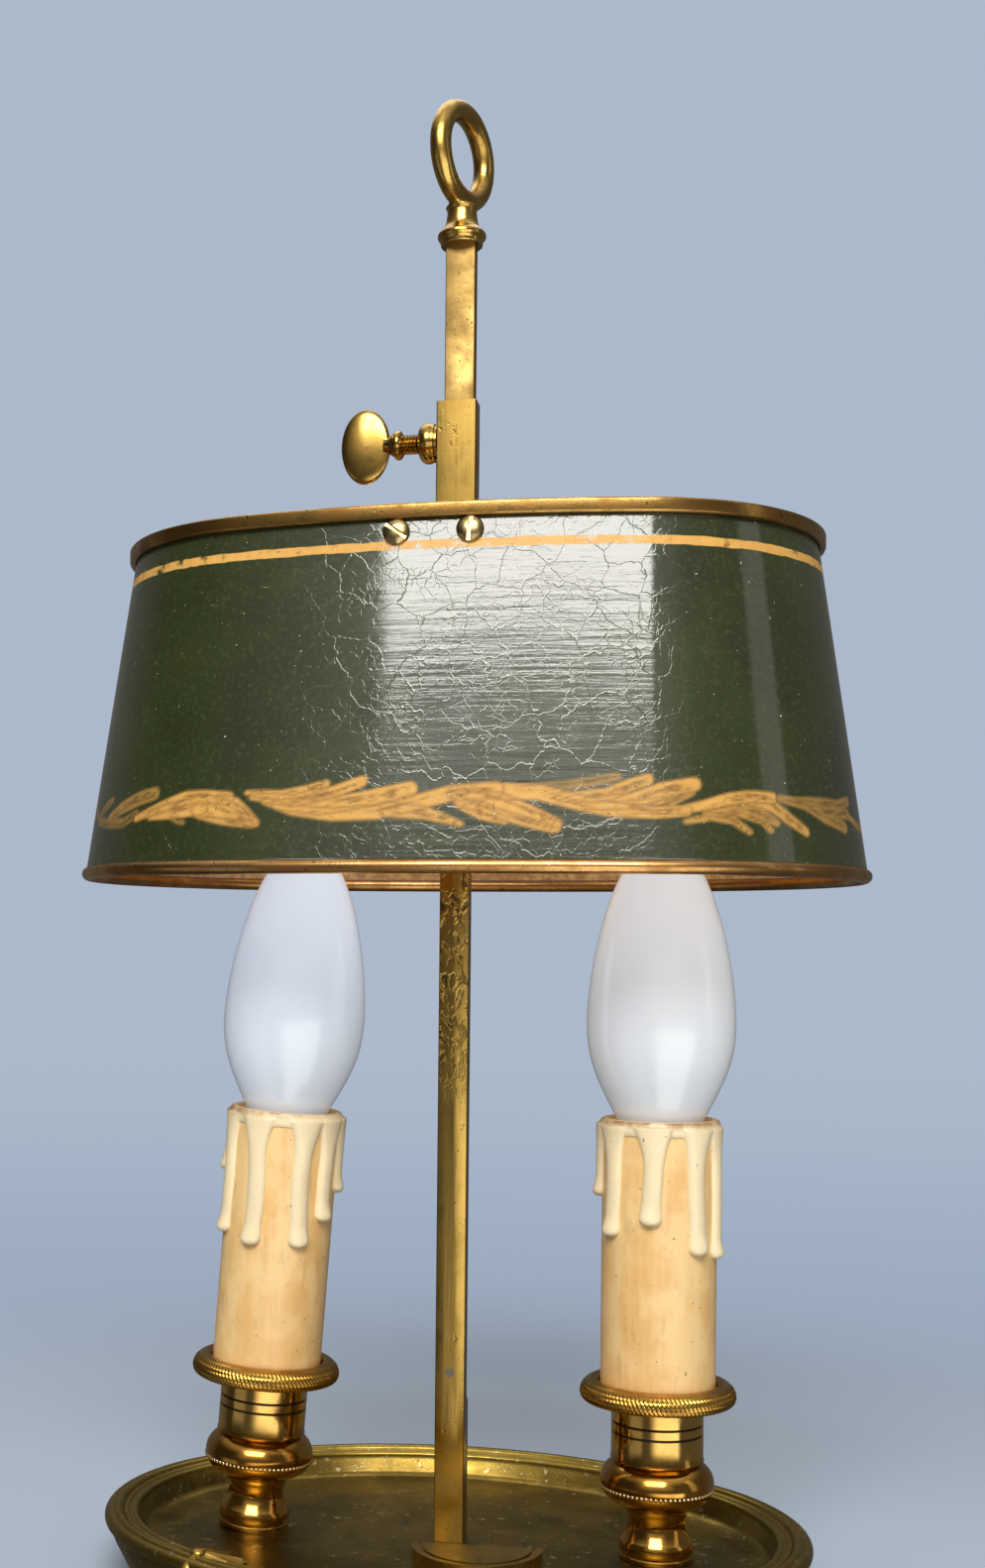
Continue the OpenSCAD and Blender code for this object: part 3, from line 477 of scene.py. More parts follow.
wire_coat, tree, shader, where = coat("cloth-covered wire", 0.8)
weave = put(tree, "ShaderNodeTexWave", {"Vector": where, "Scale": 900.0, "Distortion": 1.0}).outputs[0]
paint(tree, shader, blend(tree, weave, (0.25, 0.03, 0.02, 1), (0.38, 0.07, 0.04, 1)))
inner_coat = brass(
    "plain inner brass", (0.52, 0.38, 0.15, 1), (0.36, 0.25, 0.09, 1), (0.1, 0.06, 0.02, 1), 0.38,
    cloud=150, spots=0.4,
)[0]
dress(["bottom_plate", "plate_screws"], steel_coat)
dress(["felt_pad"], felt_coat)
dress(["cord_grommet"], rubber_coat)
dress(["joining_block", "lampholder_left", "lampholder_right"], ceramic_coat)
dress(["wires_left", "wires_right"], wire_coat)
dress(
    ["block_screws", "nipple_left", "nipple_right", "nipple_washers", "nipple_nuts", "stem_washer",
     "stem_nut", "screw_shell_left", "screw_shell_right", "contact_left", "contact_right", "pressure_shoe"],
    inner_coat,
)

# ---- stem ----
# A flat brass bar, drawn and filed, dulled to a satin above the shade and pitted just below it.
# Above the shade its colour is also painted darker, a painted shade that damps the window's reflection.
# A short strip stiffens it at the back, and a grey pin plugs a hole low on its face.
stem_w, stem_d, stem_top = 7.3, 4.0, 330.0
stem_coat, tree, shader, where = brass(
    "stem brass", (0.62, 0.395, 0.10, 1), (0.46, 0.28, 0.062, 1), (0.10, 0.058, 0.016, 1), 0.22,
    cloud=70, spots=0.55, brushed=(1, 1, 0.06), pits=0.02,
)
spot_xyz = put(tree, "ShaderNodeSeparateXYZ", {0: where}).outputs
base = shader.inputs["Base Color"].links[0].from_socket
rough_part = band(tree, spot_xyz[2], 0.115, 0.14, 0.19, 0.215)
mottle = ease(tree, grain(tree, where, 380, 5, stretch=(1, 1, 0.5), warp=1.5), 0.46, 0.60)
base = blend(tree, times(tree, times(tree, rough_part, mottle), 0.8), base, (0.13, 0.085, 0.028, 1))
low_part = ease(tree, spot_xyz[2], 0.11, 0.19, 0.42, 0.0)
base = blend(tree, low_part, base, (0.34, 0.235, 0.06, 1))
above_shade = ease(tree, spot_xyz[2], 0.284, 0.290)
# Painted shade: the brass above the shade is darkened to damp the window's reflection there.
base = blend(tree, times(tree, above_shade, 0.9), base, (0.25, 0.165, 0.055, 1))
rings = ease(tree, grain(tree, where, 240, 2, warp=2.0), 0.60, 0.64, 0.0, 0.35)
base = blend(tree, times(tree, above_shade, rings), base, (0.20, 0.13, 0.06, 1))
edge = ease(tree, calc(tree, "ABSOLUTE", spot_xyz[0]), 0.00318, 0.00362, 0.0, 0.7)
base = blend(tree, edge, base, (0.12, 0.075, 0.025, 1))
paint(tree, shader, base)
relief(tree, shader, times(tree, rough_part, calc(tree, "SUBTRACT", 1.0, mottle)), 0.12)
satin = shader.inputs["Roughness"].links[0].from_socket
satin = times(tree, satin, ease(tree, spot_xyz[2], 0.24, 0.28, 1.0, 2.2))
satin = times(tree, satin, ease(tree, spot_xyz[2], 0.023, 0.034, 2.4, 1.0))
tree.links.new(satin, shader.inputs["Roughness"])


def block(low, high):
    """A block between two corners, in millimetres."""
    bm = bmesh.new()
    bmesh.ops.create_cube(bm, size=1)
    bmesh.ops.scale(bm, verts=bm.verts, vec=[(b - a) * mm for a, b in zip(low, high)])
    shift_by(bm, *[(a + b) / 2 for a, b in zip(low, high)])
    return bm


def round_edges(bm, edges, width, segments):
    """Bevel edges round, width in millimetres."""
    bmesh.ops.bevel(
        bm, geom=edges, offset=width * mm, segments=segments, profile=0.5, affect="EDGES", material=-1
    )


bm = block((-stem_w / 2, -stem_d / 2, under_z), (stem_w / 2, stem_d / 2, stem_top))
round_edges(bm, list(bm.edges), 0.28, 3)
stem = piece(bm, "stem_bar", stem_coat, "base", ["stem"], sharp=20)
plug_r, plug_z = 1.1, 52.5
drill(stem, plug_r, (0, 0, plug_z), 48)
stem.data.set_sharp_from_angle(angle=math.radians(20))
plug_coat, tree, shader, where = coat("grey plug", 0.5, 0.8)
paint(tree, shader, blend(tree, grain(tree, where, 1500, 4), (0.16, 0.145, 0.11, 1), (0.26, 0.235, 0.18, 1)))
dress(["stem_plug"], plug_coat)
dress(["stem_brace"], stem_coat)

# ---- ring handle ----
# One small casting screwed into the stem's top: a moulded collar, a waisted neck and a round ring.
# Its brass is clouded with tarnish and small dark spots.
ring_z, ring_r, ring_wire = 351.3, 10.6, 2.6
ring_coat, tree, shader, where = brass(
    "ring brass", (0.58, 0.38, 0.105, 1), (0.36, 0.22, 0.05, 1), (0.08, 0.044, 0.013, 1), 0.24,
    cloud=130, spots=0.5, pits=0.015,
)


def turned(outline, steps=96, closed=True):
    """Spin an outline of (radius, height) about the upright axis."""
    bm = bmesh.new()
    live = draw_line(bm, outline, closed)
    bmesh.ops.spin(
        bm, geom=live, cent=(0, 0, 0), axis=(0, 0, 1), angle=2 * math.pi, steps=steps, use_merge=True,
    )
    bmesh.ops.remove_doubles(bm, verts=bm.verts, dist=1e-6)
    return bm


def join_into(bm, other):
    """Add another bmesh to this one."""
    carrier = bpy.data.meshes.new("carrier")
    other.to_mesh(carrier)
    other.free()
    bm.from_mesh(carrier)
    bpy.data.meshes.remove(carrier)


def fuse(target, voxel, rounds):
    """Melt overlapping shapes into one skin and soften where they meet."""
    skin = target.modifiers.new("skin", "REMESH")
    skin.mode, skin.voxel_size, skin.use_smooth_shade = "VOXEL", voxel * mm, True
    soften = target.modifiers.new("soften", "SMOOTH")
    soften.factor, soften.iterations = 0.5, rounds
    bpy.context.view_layer.update()
    result = bpy.data.meshes.new_from_object(target.evaluated_get(bpy.context.evaluated_depsgraph_get()))
    target.modifiers.clear()
    result.name = target.data.name
    target.data = result
    result.shade_smooth()


bm = turned(
    [(0.01, -1), (5.2, -1), (5.2, 0.05)] + bow(4.85, 1.4, 1.15, -60, 60, 8)
    + [(5.0, 2.9), (4.5, 3.3), (4.05, 4.2), (3.8, 5.6)] + bow(5.1, 7.4, 1.5, 190, 120, 5) + [(0.01, 9.3)]
)
shift_by(bm, 0, 0, stem_top)
ring = turned(bow(ring_r, 0, ring_wire, 0, 345, 23), 120)
stand_up = Matrix.Translation((0, 0, ring_z * mm)) @ Matrix.Rotation(math.radians(69), 4, "Z")
stand_up = stand_up @ Matrix.Rotation(math.pi / 2, 4, "X")
place_by(ring, stand_up)
join_into(bm, ring)
handle = piece(bm, "ring_handle", ring_coat, "base", ["finial"])
fuse(handle, 0.28, 5)

# ---- sockets ----
# Each candle stands in a turned and lacquered brass socket: foot, waist, cup with a row of beads,
# and a plain cylinder with two dark grooves. The lacquer has turned reddish gold.
lean = math.radians(4.2)
stands = {
    "left": Matrix.Translation((-0.05, 0, floor_z * mm)) @ Matrix.Rotation(lean, 4, "Y"),
    "right": Matrix.Translation((0.05, 0, floor_z * mm)),
}
socket_coat, tree, shader, where = brass(
    "lacquered socket brass", (0.60, 0.33, 0.065, 1), (0.42, 0.20, 0.034, 1), (0.11, 0.045, 0.012, 1), 0.11,
    cloud=110, spots=0.25, pits=0.004,
)
height = height_of(tree, where)
base = shader.inputs["Base Color"].links[0].from_socket
upper = ease(tree, height, 0.0355, 0.037)
base = blend(tree, times(tree, upper, 0.6), base, (0.76, 0.50, 0.15, 1))
paint(tree, shader, base)
groove_coat, tree, shader, where = coat("groove dirt", 0.8)
tone = blend(tree, grain(tree, where, 900, 4), (0.010, 0.006, 0.003, 1), (0.035, 0.020, 0.010, 1))
paint(tree, shader, tone)
# The beads are painted paler than the socket: partly rubbed brass, partly a painted highlight on their tops.
pale_bead_highlight_coat = brass(
    "rubbed beads with painted highlight", (0.86, 0.66, 0.38, 1), (0.62, 0.42, 0.18, 1), (0.15, 0.07, 0.02, 1), 0.32,
    spots=0.2, pits=0.004,
)[0]
socket_h, cup_r, socket_r, foot_r, bore_r = 37.5, 13.5, 10.9, 8.9, 5.2
cup_z = socket_h - 19.1
bead_row_z = cup_z - 1.1


def groove(z):
    """A narrow turned groove in the cylinder."""
    bottom_r = socket_r - 0.45
    return [(socket_r, z - 0.3), (bottom_r, z - 0.2), (bottom_r, z + 0.2), (socket_r, z + 0.3)]


socket_outline = (
    [(bore_r, 0.02), (foot_r - 0.35, 0.02), (foot_r - 0.15, 0.25), (foot_r - 0.15, 1.1)]
    + [(foot_r - 0.35, 1.35)]
    + bow(foot_r - 3, 3.2, 3, -30, 42, 14) + bow(foot_r + 3.55, 9, 5.6, 207, 150, 18)
    + [(7.6, cup_z - 5.4), (8.4, cup_z - 4.6)]
    + bow(cup_r - 5.2, cup_z, 5.2, -62, -19, 12) + bow(cup_r - 5.2, cup_z, 5.2, -8, 68, 20)
    + [(socket_r + 0.2, cup_z + 5.6), (socket_r, cup_z + 6.2)]
    + groove(socket_h - 7.1) + groove(socket_h - 4.7) + [(socket_r, socket_h), (bore_r, socket_h)]
)
for side, stand in stands.items():
    bm = turned(socket_outline, 128)
    for face in bm.faces:
        middle = face.calc_center_median()
        deep = 8 * mm < math.hypot(middle.x, middle.y) < (socket_r - 0.2) * mm and abs(face.normal.z) < 0.95
        if deep and (socket_h - 7.5) * mm < middle.z < (socket_h - 4.2) * mm:
            face.material_index = 1
    beads = 74
    for i in range(beads):
        t = 2 * math.pi * i / beads
        bead = bmesh.ops.create_icosphere(bm, subdivisions=2, radius=0.54 * mm)["verts"]
        r = (cup_r - 0.38) * mm
        bmesh.ops.translate(bm, verts=bead, vec=(r * math.cos(t), r * math.sin(t), bead_row_z * mm))
        for face in {f for v in bead for f in v.link_faces}:
            face.material_index = 2
    if side == "left":
        for v in bm.verts:
            v.co.z = max(v.co.z, -v.co.x * math.tan(-lean) if v.co.z < 0.0006 else v.co.z)
    place_by(bm, stand)
    name = f"turned_socket_{side}"
    made = piece(bm, name, socket_coat, "base", [f"socket_{side}"], sharp=30)
    made.data.materials.append(groove_coat)
    made.data.materials.append(pale_bead_highlight_coat)

# ---- drip pans ----
# A spun brass ring lies on each socket, its rounded edge finely milled by a knurling wheel.
# A thin lip inside it leaves a gap round the candle.
pan_coat = brass(
    "milled pan brass", (0.62, 0.36, 0.075, 1), (0.40, 0.215, 0.04, 1), (0.10, 0.046, 0.012, 1), 0.25,
    cloud=120, spots=0.4, pits=0.01,
)[0]
pan_r, candle_r, candle_low, candle_top = 18.6, 13.6, 39.0, 105.2
pan_outline = (
    [(bore_r, socket_h), (pan_r - 1.8, socket_h)] + bow(pan_r - 1.8, socket_h + 1.8, 1.75, -80, 0, 7)
    + bow(pan_r - 3.3, socket_h + 1.8, 3.25, 6, 90, 14)
    + [(candle_r + 0.95, socket_h + 5.05), (candle_r + 0.75, socket_h + 4.95)]
    + [(candle_r + 0.5, socket_h + 4.4), (candle_r + 0.5, candle_low), (bore_r, candle_low)]
)
teeth = 112
for side, stand in stands.items():
    bm = turned(pan_outline, teeth * 4)
    for v in bm.verts:
        r = math.hypot(v.co.x, v.co.y) / mm
        z = v.co.z / mm - socket_h
        if r > pan_r - 2.4 and 0.5 < z < 4.7:
            t = math.atan2(v.co.y, v.co.x) * teeth
            cut = 0.5 - 0.38 * math.cos(t + z * 3.4) - 0.12 * math.cos(t - z * 3.4)
            strength = min(1, (r - pan_r + 2.4) / 0.8, (z - 0.5) / 0.5, (4.7 - z) / 0.5)
            shrink = 1 - 0.42 * cut * strength / r
            v.co.x *= shrink
            v.co.y *= shrink
    place_by(bm, stand)
    piece(bm, f"milled_pan_{side}", pan_coat, "base", [f"drip_pan_{side}"], sharp=50)

# ---- candle tubes ----
# Card tubes dipped in amber wax make the candles: faint upright fibres, dark specks, a waxy shine.
# Cream wax runs down from the top, and the top rim is stained brown by the heat of the bulb.
candle_coat, tree, shader, where = coat("amber waxed tube", 0.42)
height = height_of(tree, where)
fibres = grain(tree, where, 450, 5, stretch=(1, 1, 0.08))
clouds = grain(tree, where, 110, 6)
tone = blend(tree, ease(tree, clouds, 0.38, 0.62), (0.92, 0.62, 0.265, 1), (0.83, 0.50, 0.175, 1))
tone = blend(tree, ease(tree, fibres, 0.4, 0.7, 0.0, 0.4), tone, (0.95, 0.70, 0.36, 1))
streak = ease(tree, grain(tree, where, 300, 4, stretch=(1, 1, 0.3)), 0.56, 0.70, 0.0, 0.30)
tone = blend(tree, streak, tone, (0.50, 0.27, 0.10, 1))
speck = ease(tree, grain(tree, where, 900, 1), 0.74, 0.77, 0.0, 0.7)
tone = blend(tree, speck, tone, (0.10, 0.05, 0.02, 1))
foot = ease(tree, height, 0.0495, 0.0545, 0.55, 0.0)
paint(tree, shader, blend(tree, foot, tone, (0.42, 0.20, 0.075, 1)))
tune(shader, {"Subsurface Weight": 0.12, "Subsurface Radius": (0.004, 0.002, 0.001)})
tune(shader, {"Coat Weight": 0.5, "Coat Roughness": 0.3})
relief(tree, shader, fibres, 0.02)
relief(tree, shader, grain(tree, where, 220, 3), 0.15)
wax_coat, tree, shader, where = coat("cream wax", 0.36)
height = height_of(tree, where)
tone = blend(tree, grain(tree, where, 140, 4), (0.93, 0.80, 0.53, 1), (0.87, 0.70, 0.42, 1))
brown = ease(tree, height, (floor_z + candle_top - 2.2) * mm, (floor_z + candle_top + 0.2) * mm)
brown = times(tree, brown, ease(tree, grain(tree, where, 260, 4), 0.3, 0.62, 0.25, 1.0))
tone = blend(tree, brown, tone, (0.34, 0.16, 0.06, 1))
speck = ease(tree, grain(tree, where, 800, 1), 0.76, 0.79, 0.0, 0.8)
paint(tree, shader, blend(tree, speck, tone, (0.12, 0.06, 0.03, 1)))
tune(shader, {"Subsurface Weight": 0.25, "Subsurface Radius": (0.004, 0.0025, 0.0012)})
tune(shader, {"Coat Weight": 0.3, "Coat Roughness": 0.2})
relief(tree, shader, grain(tree, where, 300, 3), 0.2)
candle_in = candle_r - 1.3
candle_outline = (
    [(candle_in, candle_low), (candle_r, candle_low)]
    + [(candle_r, candle_low + (candle_top - 0.4 - candle_low) * i / 12) for i in range(1, 13)]
    + bow(candle_r - 0.4, candle_top - 0.4, 0.4, 15, 90, 4)
    + bow(candle_in + 0.4, candle_top - 0.4, 0.4, 90, 165, 4)
)
# each drip: bearing in degrees (0 faces right, -90 the front), and how far it runs down
drips = {
    "right": [(-176, 19.5), (-139, 28), (-94, 24.5), (-48, 31.5), (-15, 33), (28, 21), (75, 29), (140, 30)],
    "left": [(-178, 17.5), (-146, 32), (-103, 33.5), (-55, 33.2), (-24, 27), (8, 20.5), (80, 30), (130, 24)],
}
for side, stand in stands.items():
    bm = turned(candle_outline, 128)
    place_by(bm, stand)
    piece(bm, f"candle_tube_{side}", candle_coat, "base", [f"candle_{side}"], sharp=50)
    bm = turned(
        [(candle_r - 0.9, candle_top - 3.4), (candle_r + 0.25, candle_top - 3.6)]
        + [(candle_r + 0.62, candle_top - 2.6)] + bow(candle_r - 0.2, candle_top - 0.75, 0.72, -5, 90, 6)
        + [(candle_r - 0.9, candle_top - 0.03)], 96,
    )
    for angle, run in drips[side]:
        drop = bmesh.new()
        bmesh.ops.create_uvsphere(drop, u_segments=18, v_segments=48, radius=1)
        length = run - 1.2
        for v in drop.verts:
            flat = math.hypot(v.co.x, v.co.y)
            down = length * math.acos(max(-1, min(1, v.co.z))) / math.pi
            root = max(0.0, 1 - down / 10) ** 1.7
            tail = max(0.0, 1 - (length - down) / 5.2) ** 1.3
            end = math.sqrt(max(0.0, 1 - max(0.0, 1 - (length - down) / 2.1) ** 2))
            way = Vector((v.co.x, v.co.y)) / max(flat, 1e-6) * end * (1 if flat > 1e-4 else 0)
            out = candle_r - 0.1 + 0.6 * tail + way.x * (1.6 + 0.1 * root + 0.75 * tail)
            aside = way.y * (2.4 + 2.4 * root + 0.6 * tail) + 0.35 * math.sin(down * 0.2 + angle)
            v.co = Vector((out, aside, candle_top - 0.9 - down)) * mm
        turn_by(drop, angle, "Z")
        join_into(bm, drop)
    made = piece(bm, f"wax_run_{side}", wax_coat, "base", [f"wax_drips_{side}"])
    fuse(made, 0.3, 6)
    made.data.transform(stand)

# ---- bulbs ----
# Two opal candle bulbs screw into the lampholders hidden in the candles. The glass is milk-white and
# glossy; each has a threaded metal cap, a black glass foot and a contact pip. The bulbs are off, and
# a faint painted glow stands for the daylight that opal glass gathers. The glow is painted stronger
# toward the top, where the shade casts its shadow, and bluer on the left bulb as a painted reflection.
glass_coat, tree, shader, where = coat("opal glass", 0.25)
paint(tree, shader, blend(tree, grain(tree, where, 40, 3), (0.66, 0.69, 0.72, 1), (0.61, 0.64, 0.68, 1)))
tune(shader, {"Subsurface Weight": 0.5, "Subsurface Radius": (0.01, 0.01, 0.011)})
tune(shader, {"Coat Weight": 1.0, "Coat Roughness": 0.01})
height = height_of(tree, where)
# Painted light: the glow grows toward the top of the glass, where the shade's shadow falls.
tree.links.new(ease(tree, height, 0.115, 0.172, 0.17, 0.50), shader.inputs["Emission Strength"])
sideways = put(tree, "ShaderNodeSeparateXYZ", {0: where}).outputs[0]
# Painted reflection: the glow is tinted blue on the left bulb and neutral on the right.
painted_glow_colour = blend(tree, ease(tree, sideways, -0.03, 0.03), (0.90, 1.04, 1.26, 1), (0.95, 0.95, 0.97, 1))
tree.links.new(painted_glow_colour, shader.inputs["Emission Color"])
bulb_r, neck_r, glass_low = 17.6, 7.2, 94.0
bulb_mid, tip_h = candle_top + 23.3, 44.0
bulb_outline = [(0.001, glass_low)]
for i in range(40):
    t = 1 - i / 40
    swell = 0.5 + 0.5 * math.cos(math.pi * t**1.22)
    bulb_outline.append((neck_r + (bulb_r - neck_r) * swell, bulb_mid - (bulb_mid - glass_low) * t))
for i in range(65):
    t = math.sin(math.pi / 2 * i / 64)
    bulb_outline.append((bulb_r * math.sqrt(max(0, 1 - t**1.62)), bulb_mid + tip_h * t))
bulb_outline[-1] = (0.001, bulb_mid + tip_h)
cap_coat, tree, shader, where = coat("bulb cap metal", 0.32, 1.0)
paint(tree, shader, blend(tree, grain(tree, where, 260, 4), (0.62, 0.61, 0.58, 1), (0.48, 0.46, 0.42, 1)))
foot_coat, tree, shader, where = coat("black glass foot", 0.1)
paint(tree, shader, blend(tree, grain(tree, where, 300, 3), (0.01, 0.01, 0.013, 1), (0.025, 0.022, 0.03, 1)))
for side, stand in stands.items():
    bm = turned(bulb_outline, 128, closed=False)
    bmesh.ops.remove_doubles(bm, verts=bm.verts, dist=5e-6)
    place_by(bm, stand)
    name = f"opal_bulb_{side}"
    piece(bm, name, glass_coat, f"bulb_{side}", [f"bulb_glass_{side}"], sharp=80)
    dress([f"bulb_cap_{side}", f"bulb_pip_{side}"], cap_coat)
    dress([f"bulb_foot_{side}"], foot_coat)

# ---- shade ----
# Oval tole shade: thin sheet iron, painted dark green and varnished; the varnish has crackled and
# rippled. A gold line runs under the top, and a hand-painted band of scrolled leaves above the foot.
shade_span, shade_side, shade_top_r, shade_flare, shade_right = 37.0, 3.7, 46.0, 11.7, 2.3
wall_low, wall_top, shade_t = 175.5, 252.5, 0.8
shade_shift = (shade_span**2 - shade_side**2) / (2 * shade_side)
band_mid, band_end_r = 186.6, 55.0
# leaf strokes: points (along the wall from the middle of the front, height above the band), width
leaf_strokes = [
    ([(-100.8, 4.7), (-97.5, 2.4), (-91, -0.6), (-83, -1.6), (-76.6, -1.7), (-71.4, 0)], 0.5, 0.9, 0.35),
    ([(-84, -0.2), (-78, 1.8), (-71, 3.6), (-65.6, 4.5)], 0.9, 1.3, 0.5),
    ([(-92, 0.8), (-88, 2.6), (-84, 4.0)], 0.5, 0.7, 0.4),
    ([(-71.2, -1.0), (-63.7, 1.1), (-56.1, 3.1), (-51.1, 3.2), (-45, 2.7)], 0.7, 1.25, 1.0),
    ([(-66, -0.6), (-60, 0.2), (-52, 1.2)], 0.9, 1.8, 1.0),
    ([(-52, 1.4), (-46, 0.4), (-42.7, -0.8), (-37.8, -3.0)], 2.1, 0.8, 1.0),
    ([(-47, 2.7), (-43, 1.6), (-38.2, -2.4)], 0.8, 0.7, 1.0),
    ([(-52, 0.2), (-46, -1.6), (-38.7, -3.4)], 1.6, 0.6, 0.9),
    ([(-60, -0.8), (-56, -2.6)], 0.5, 0.4, 0.5),
    ([(-40.4, 3.8), (-32.2, 3.1), (-26, 4.1), (-21.9, 5.3)], 0.5, 0.85, 1.0),
    ([(-39, 2.9), (-29.5, 1.8), (-19.8, 3.6), (-13.6, 5.8)], 0.7, 1.05, 1.0),
    ([(-33, 1.1), (-23.3, 0.2), (-12.6, 1.9), (-3, 3.9)], 1.0, 1.45, 1.0),
    (
        [(-36, 1.9), (-29.4, -0.4), (-20.1, -1.5), (-10.1, -1.0), (-2, 0.9), (5.9, 2.9), (15.4, 3.7)],
        0.7, 1.5, 1.0,
    ),
    ([(-8, -0.5), (0.4, -1.3), (8.3, -3.7)], 1.3, 0.5, 1.0),
    (
        [(7, 2.9), (14.1, 3.4), (24.7, 3.0), (32.3, 1.0), (39.8, -0.7), (49, -1.2), (55.4, -0.8)],
        1.4, 1.0, 1.0,
    ),
    ([(8.2, 2.0), (14.2, 0.4), (20.1, -1.9), (27.9, -4.3)], 1.6, 1.25, 1.0),
    ([(10.6, 2.5), (16.5, 1.2), (22.4, -1.0), (28.5, -3.6)], 1.3, 0.9, 1.0),
    ([(8, 0.9), (13, -1.6), (17.5, -3.1)], 1.1, 0.7, 1.0),
    ([(20, 4.1), (30.5, 4.5), (36.3, 5.4), (41, 6.4)], 0.5, 0.8, 0.45),
    ([(29, 1.9), (38.6, 2.5), (43.3, 4.4), (47.4, 5.8)], 0.8, 1.1, 0.9),
    ([(35, 0.5), (44.4, 1.3), (50.3, 3.5), (57.3, 4.9)], 1.1, 1.3, 0.95),
    ([(42, -0.4), (50.2, 0.6), (56.6, 3.0)], 1.2, 0.6, 0.8),
    ([(53, -0.9), (59.6, 0.5), (64.7, 1.9), (70.1, 2.7), (75.8, 2.6)], 0.7, 1.0, 1.0),
    ([(69, 2.2), (75.6, 0.8), (79.9, -1.8), (84.7, -4.4)], 1.0, 0.85, 0.9),
    ([(65, 1.2), (71.2, -0.3), (76.3, -2.8)], 0.9, 0.7, 0.7),
    ([(55.3, -3.1), (60.7, -1.9), (65.7, -2.6), (69.2, -5.0)], 0.5, 0.6, 0.75),
    ([(59.6, -1.2), (65.8, -0.5), (72.4, -2.3), (74.6, -4.4)], 0.6, 0.6, 0.75),
    ([(77.7, 2.6), (85.6, 1.6), (92.2, -0.8), (101, -2.6)], 0.7, 1.1, 0.55),
    ([(80.5, 2.5), (89.7, 2.4), (98, 2.2), (105, 3.6)], 0.5, 0.9, 0.5),
    ([(84.7, 1.9), (93.7, 0.5), (104, 0.6)], 0.9, 1.0, 0.5),
    ([(104, 0.2), (112, -1.9), (122, -1.4), (134, 1.2), (146, 4.4)], 0.6, 0.9, 0.6),
    ([(118, -0.8), (127, 2.2), (133, 4.2)], 0.5, 1.0, 0.6),
]


def along_wall(x, y):
    """Distance along the wall from the middle of the front or back half, as seen from outside."""
    x = np.where(y > 0, -x, x)
    y = -np.abs(y)
    long_r = band_end_r + shade_side + shade_shift
    quarter = math.atan2(shade_span, shade_shift)
    around_side = np.arctan2(x, shade_shift - y)
    around_end = np.arctan2(np.abs(x) - shade_span, -y)
    on_end = np.abs(around_side) > quarter
    end_way = np.sign(x) * (quarter * long_r + (around_end - quarter) * band_end_r)
    return np.where(on_end, end_way, around_side * long_r)


def stroke_gap(u, v, points, start_w, end_w, wider=1.22):
    """How far each place is outside a tapering stroke, and how far along the stroke it is."""
    spots = np.array(points, float)
    lengths = np.hypot(*np.diff(spots, axis=0).T)
    total, best, along = lengths.sum(), np.full(u.shape, 99.0), np.zeros(u.shape)
    gone = 0.0
    for a, b, size in zip(spots[:-1], spots[1:], lengths):
        way = (b - a) / size
        s = np.clip((u - a[0]) * way[0] + (v - a[1]) * way[1], 0, size)
        far = np.hypot(u - a[0] - s * way[0], v - a[1] - s * way[1])
        part = (gone + s) / total
        swell = np.sin(np.pi * np.clip(part, 0, 1)) * 0.25
        gap = far - (start_w + (end_w - start_w) * part + swell) * wider
        closer = gap < best
        best, along = np.where(closer, gap, best), np.where(closer, part, along)
        gone += size
    return best, along


rows = [wall_low + 0.05, 177, 179]
rows += [179.6 + 0.42 * i for i in range(36)]
rows += [196, 199, 203, 208, 214, 220, 226, 232, 238, 242, 245, 248, 250, wall_top - 0.4, wall_top]


def wall_at(away, z):
    """A point of the wall's section, away from its outer face."""
    return (away + (wall_top - z) * shade_flare / (wall_top - wall_low), z)


def shade_oval(outline, end_r, step):
    """An oval of the shade, which sits a little to the right of the stem."""
    bm = oval_piece(outline, shade_span, shade_side, end_r, step=step)
    shift_by(bm, shade_right, 0, 0)
    return bm


inner_rows = (wall_top, 240, 220, 200, wall_low + 0.05)
shade_outline = [wall_at(0, z) for z in rows] + [wall_at(-shade_t, z) for z in inner_rows]
bm = shade_oval(shade_outline, shade_top_r, 0.5)
paint_coat, tree, shader, where = coat("green paint under old varnish", 0.55)
shade_wall = piece(bm, "painted_wall", paint_coat, "shade", ["shade_wall"], sharp=60)
mesh = shade_wall.data
for face in mesh.polygons:
    outwards = (face.center.x - shade_right * mm) * face.normal.x * 0.4 + face.center.y * face.normal.y
    face.material_index = 1 if outwards < 0 else 0
corners = np.zeros(len(mesh.vertices) * 3)
mesh.vertices.foreach_get("co", corners)
x, y, z = corners.reshape(-1, 3).T / mm
x = x - shade_right
u, v = along_wall(x, y), z - band_mid
side_turn = math.atan2(shade_span, shade_shift)
half_round = side_turn * (band_end_r + shade_side + shade_shift) + (math.pi / 2 - side_turn) * band_end_r
gold, vein = np.zeros(len(x)), np.zeros(len(x))
near = np.abs(v) < 9
rng = np.random.default_rng(7)
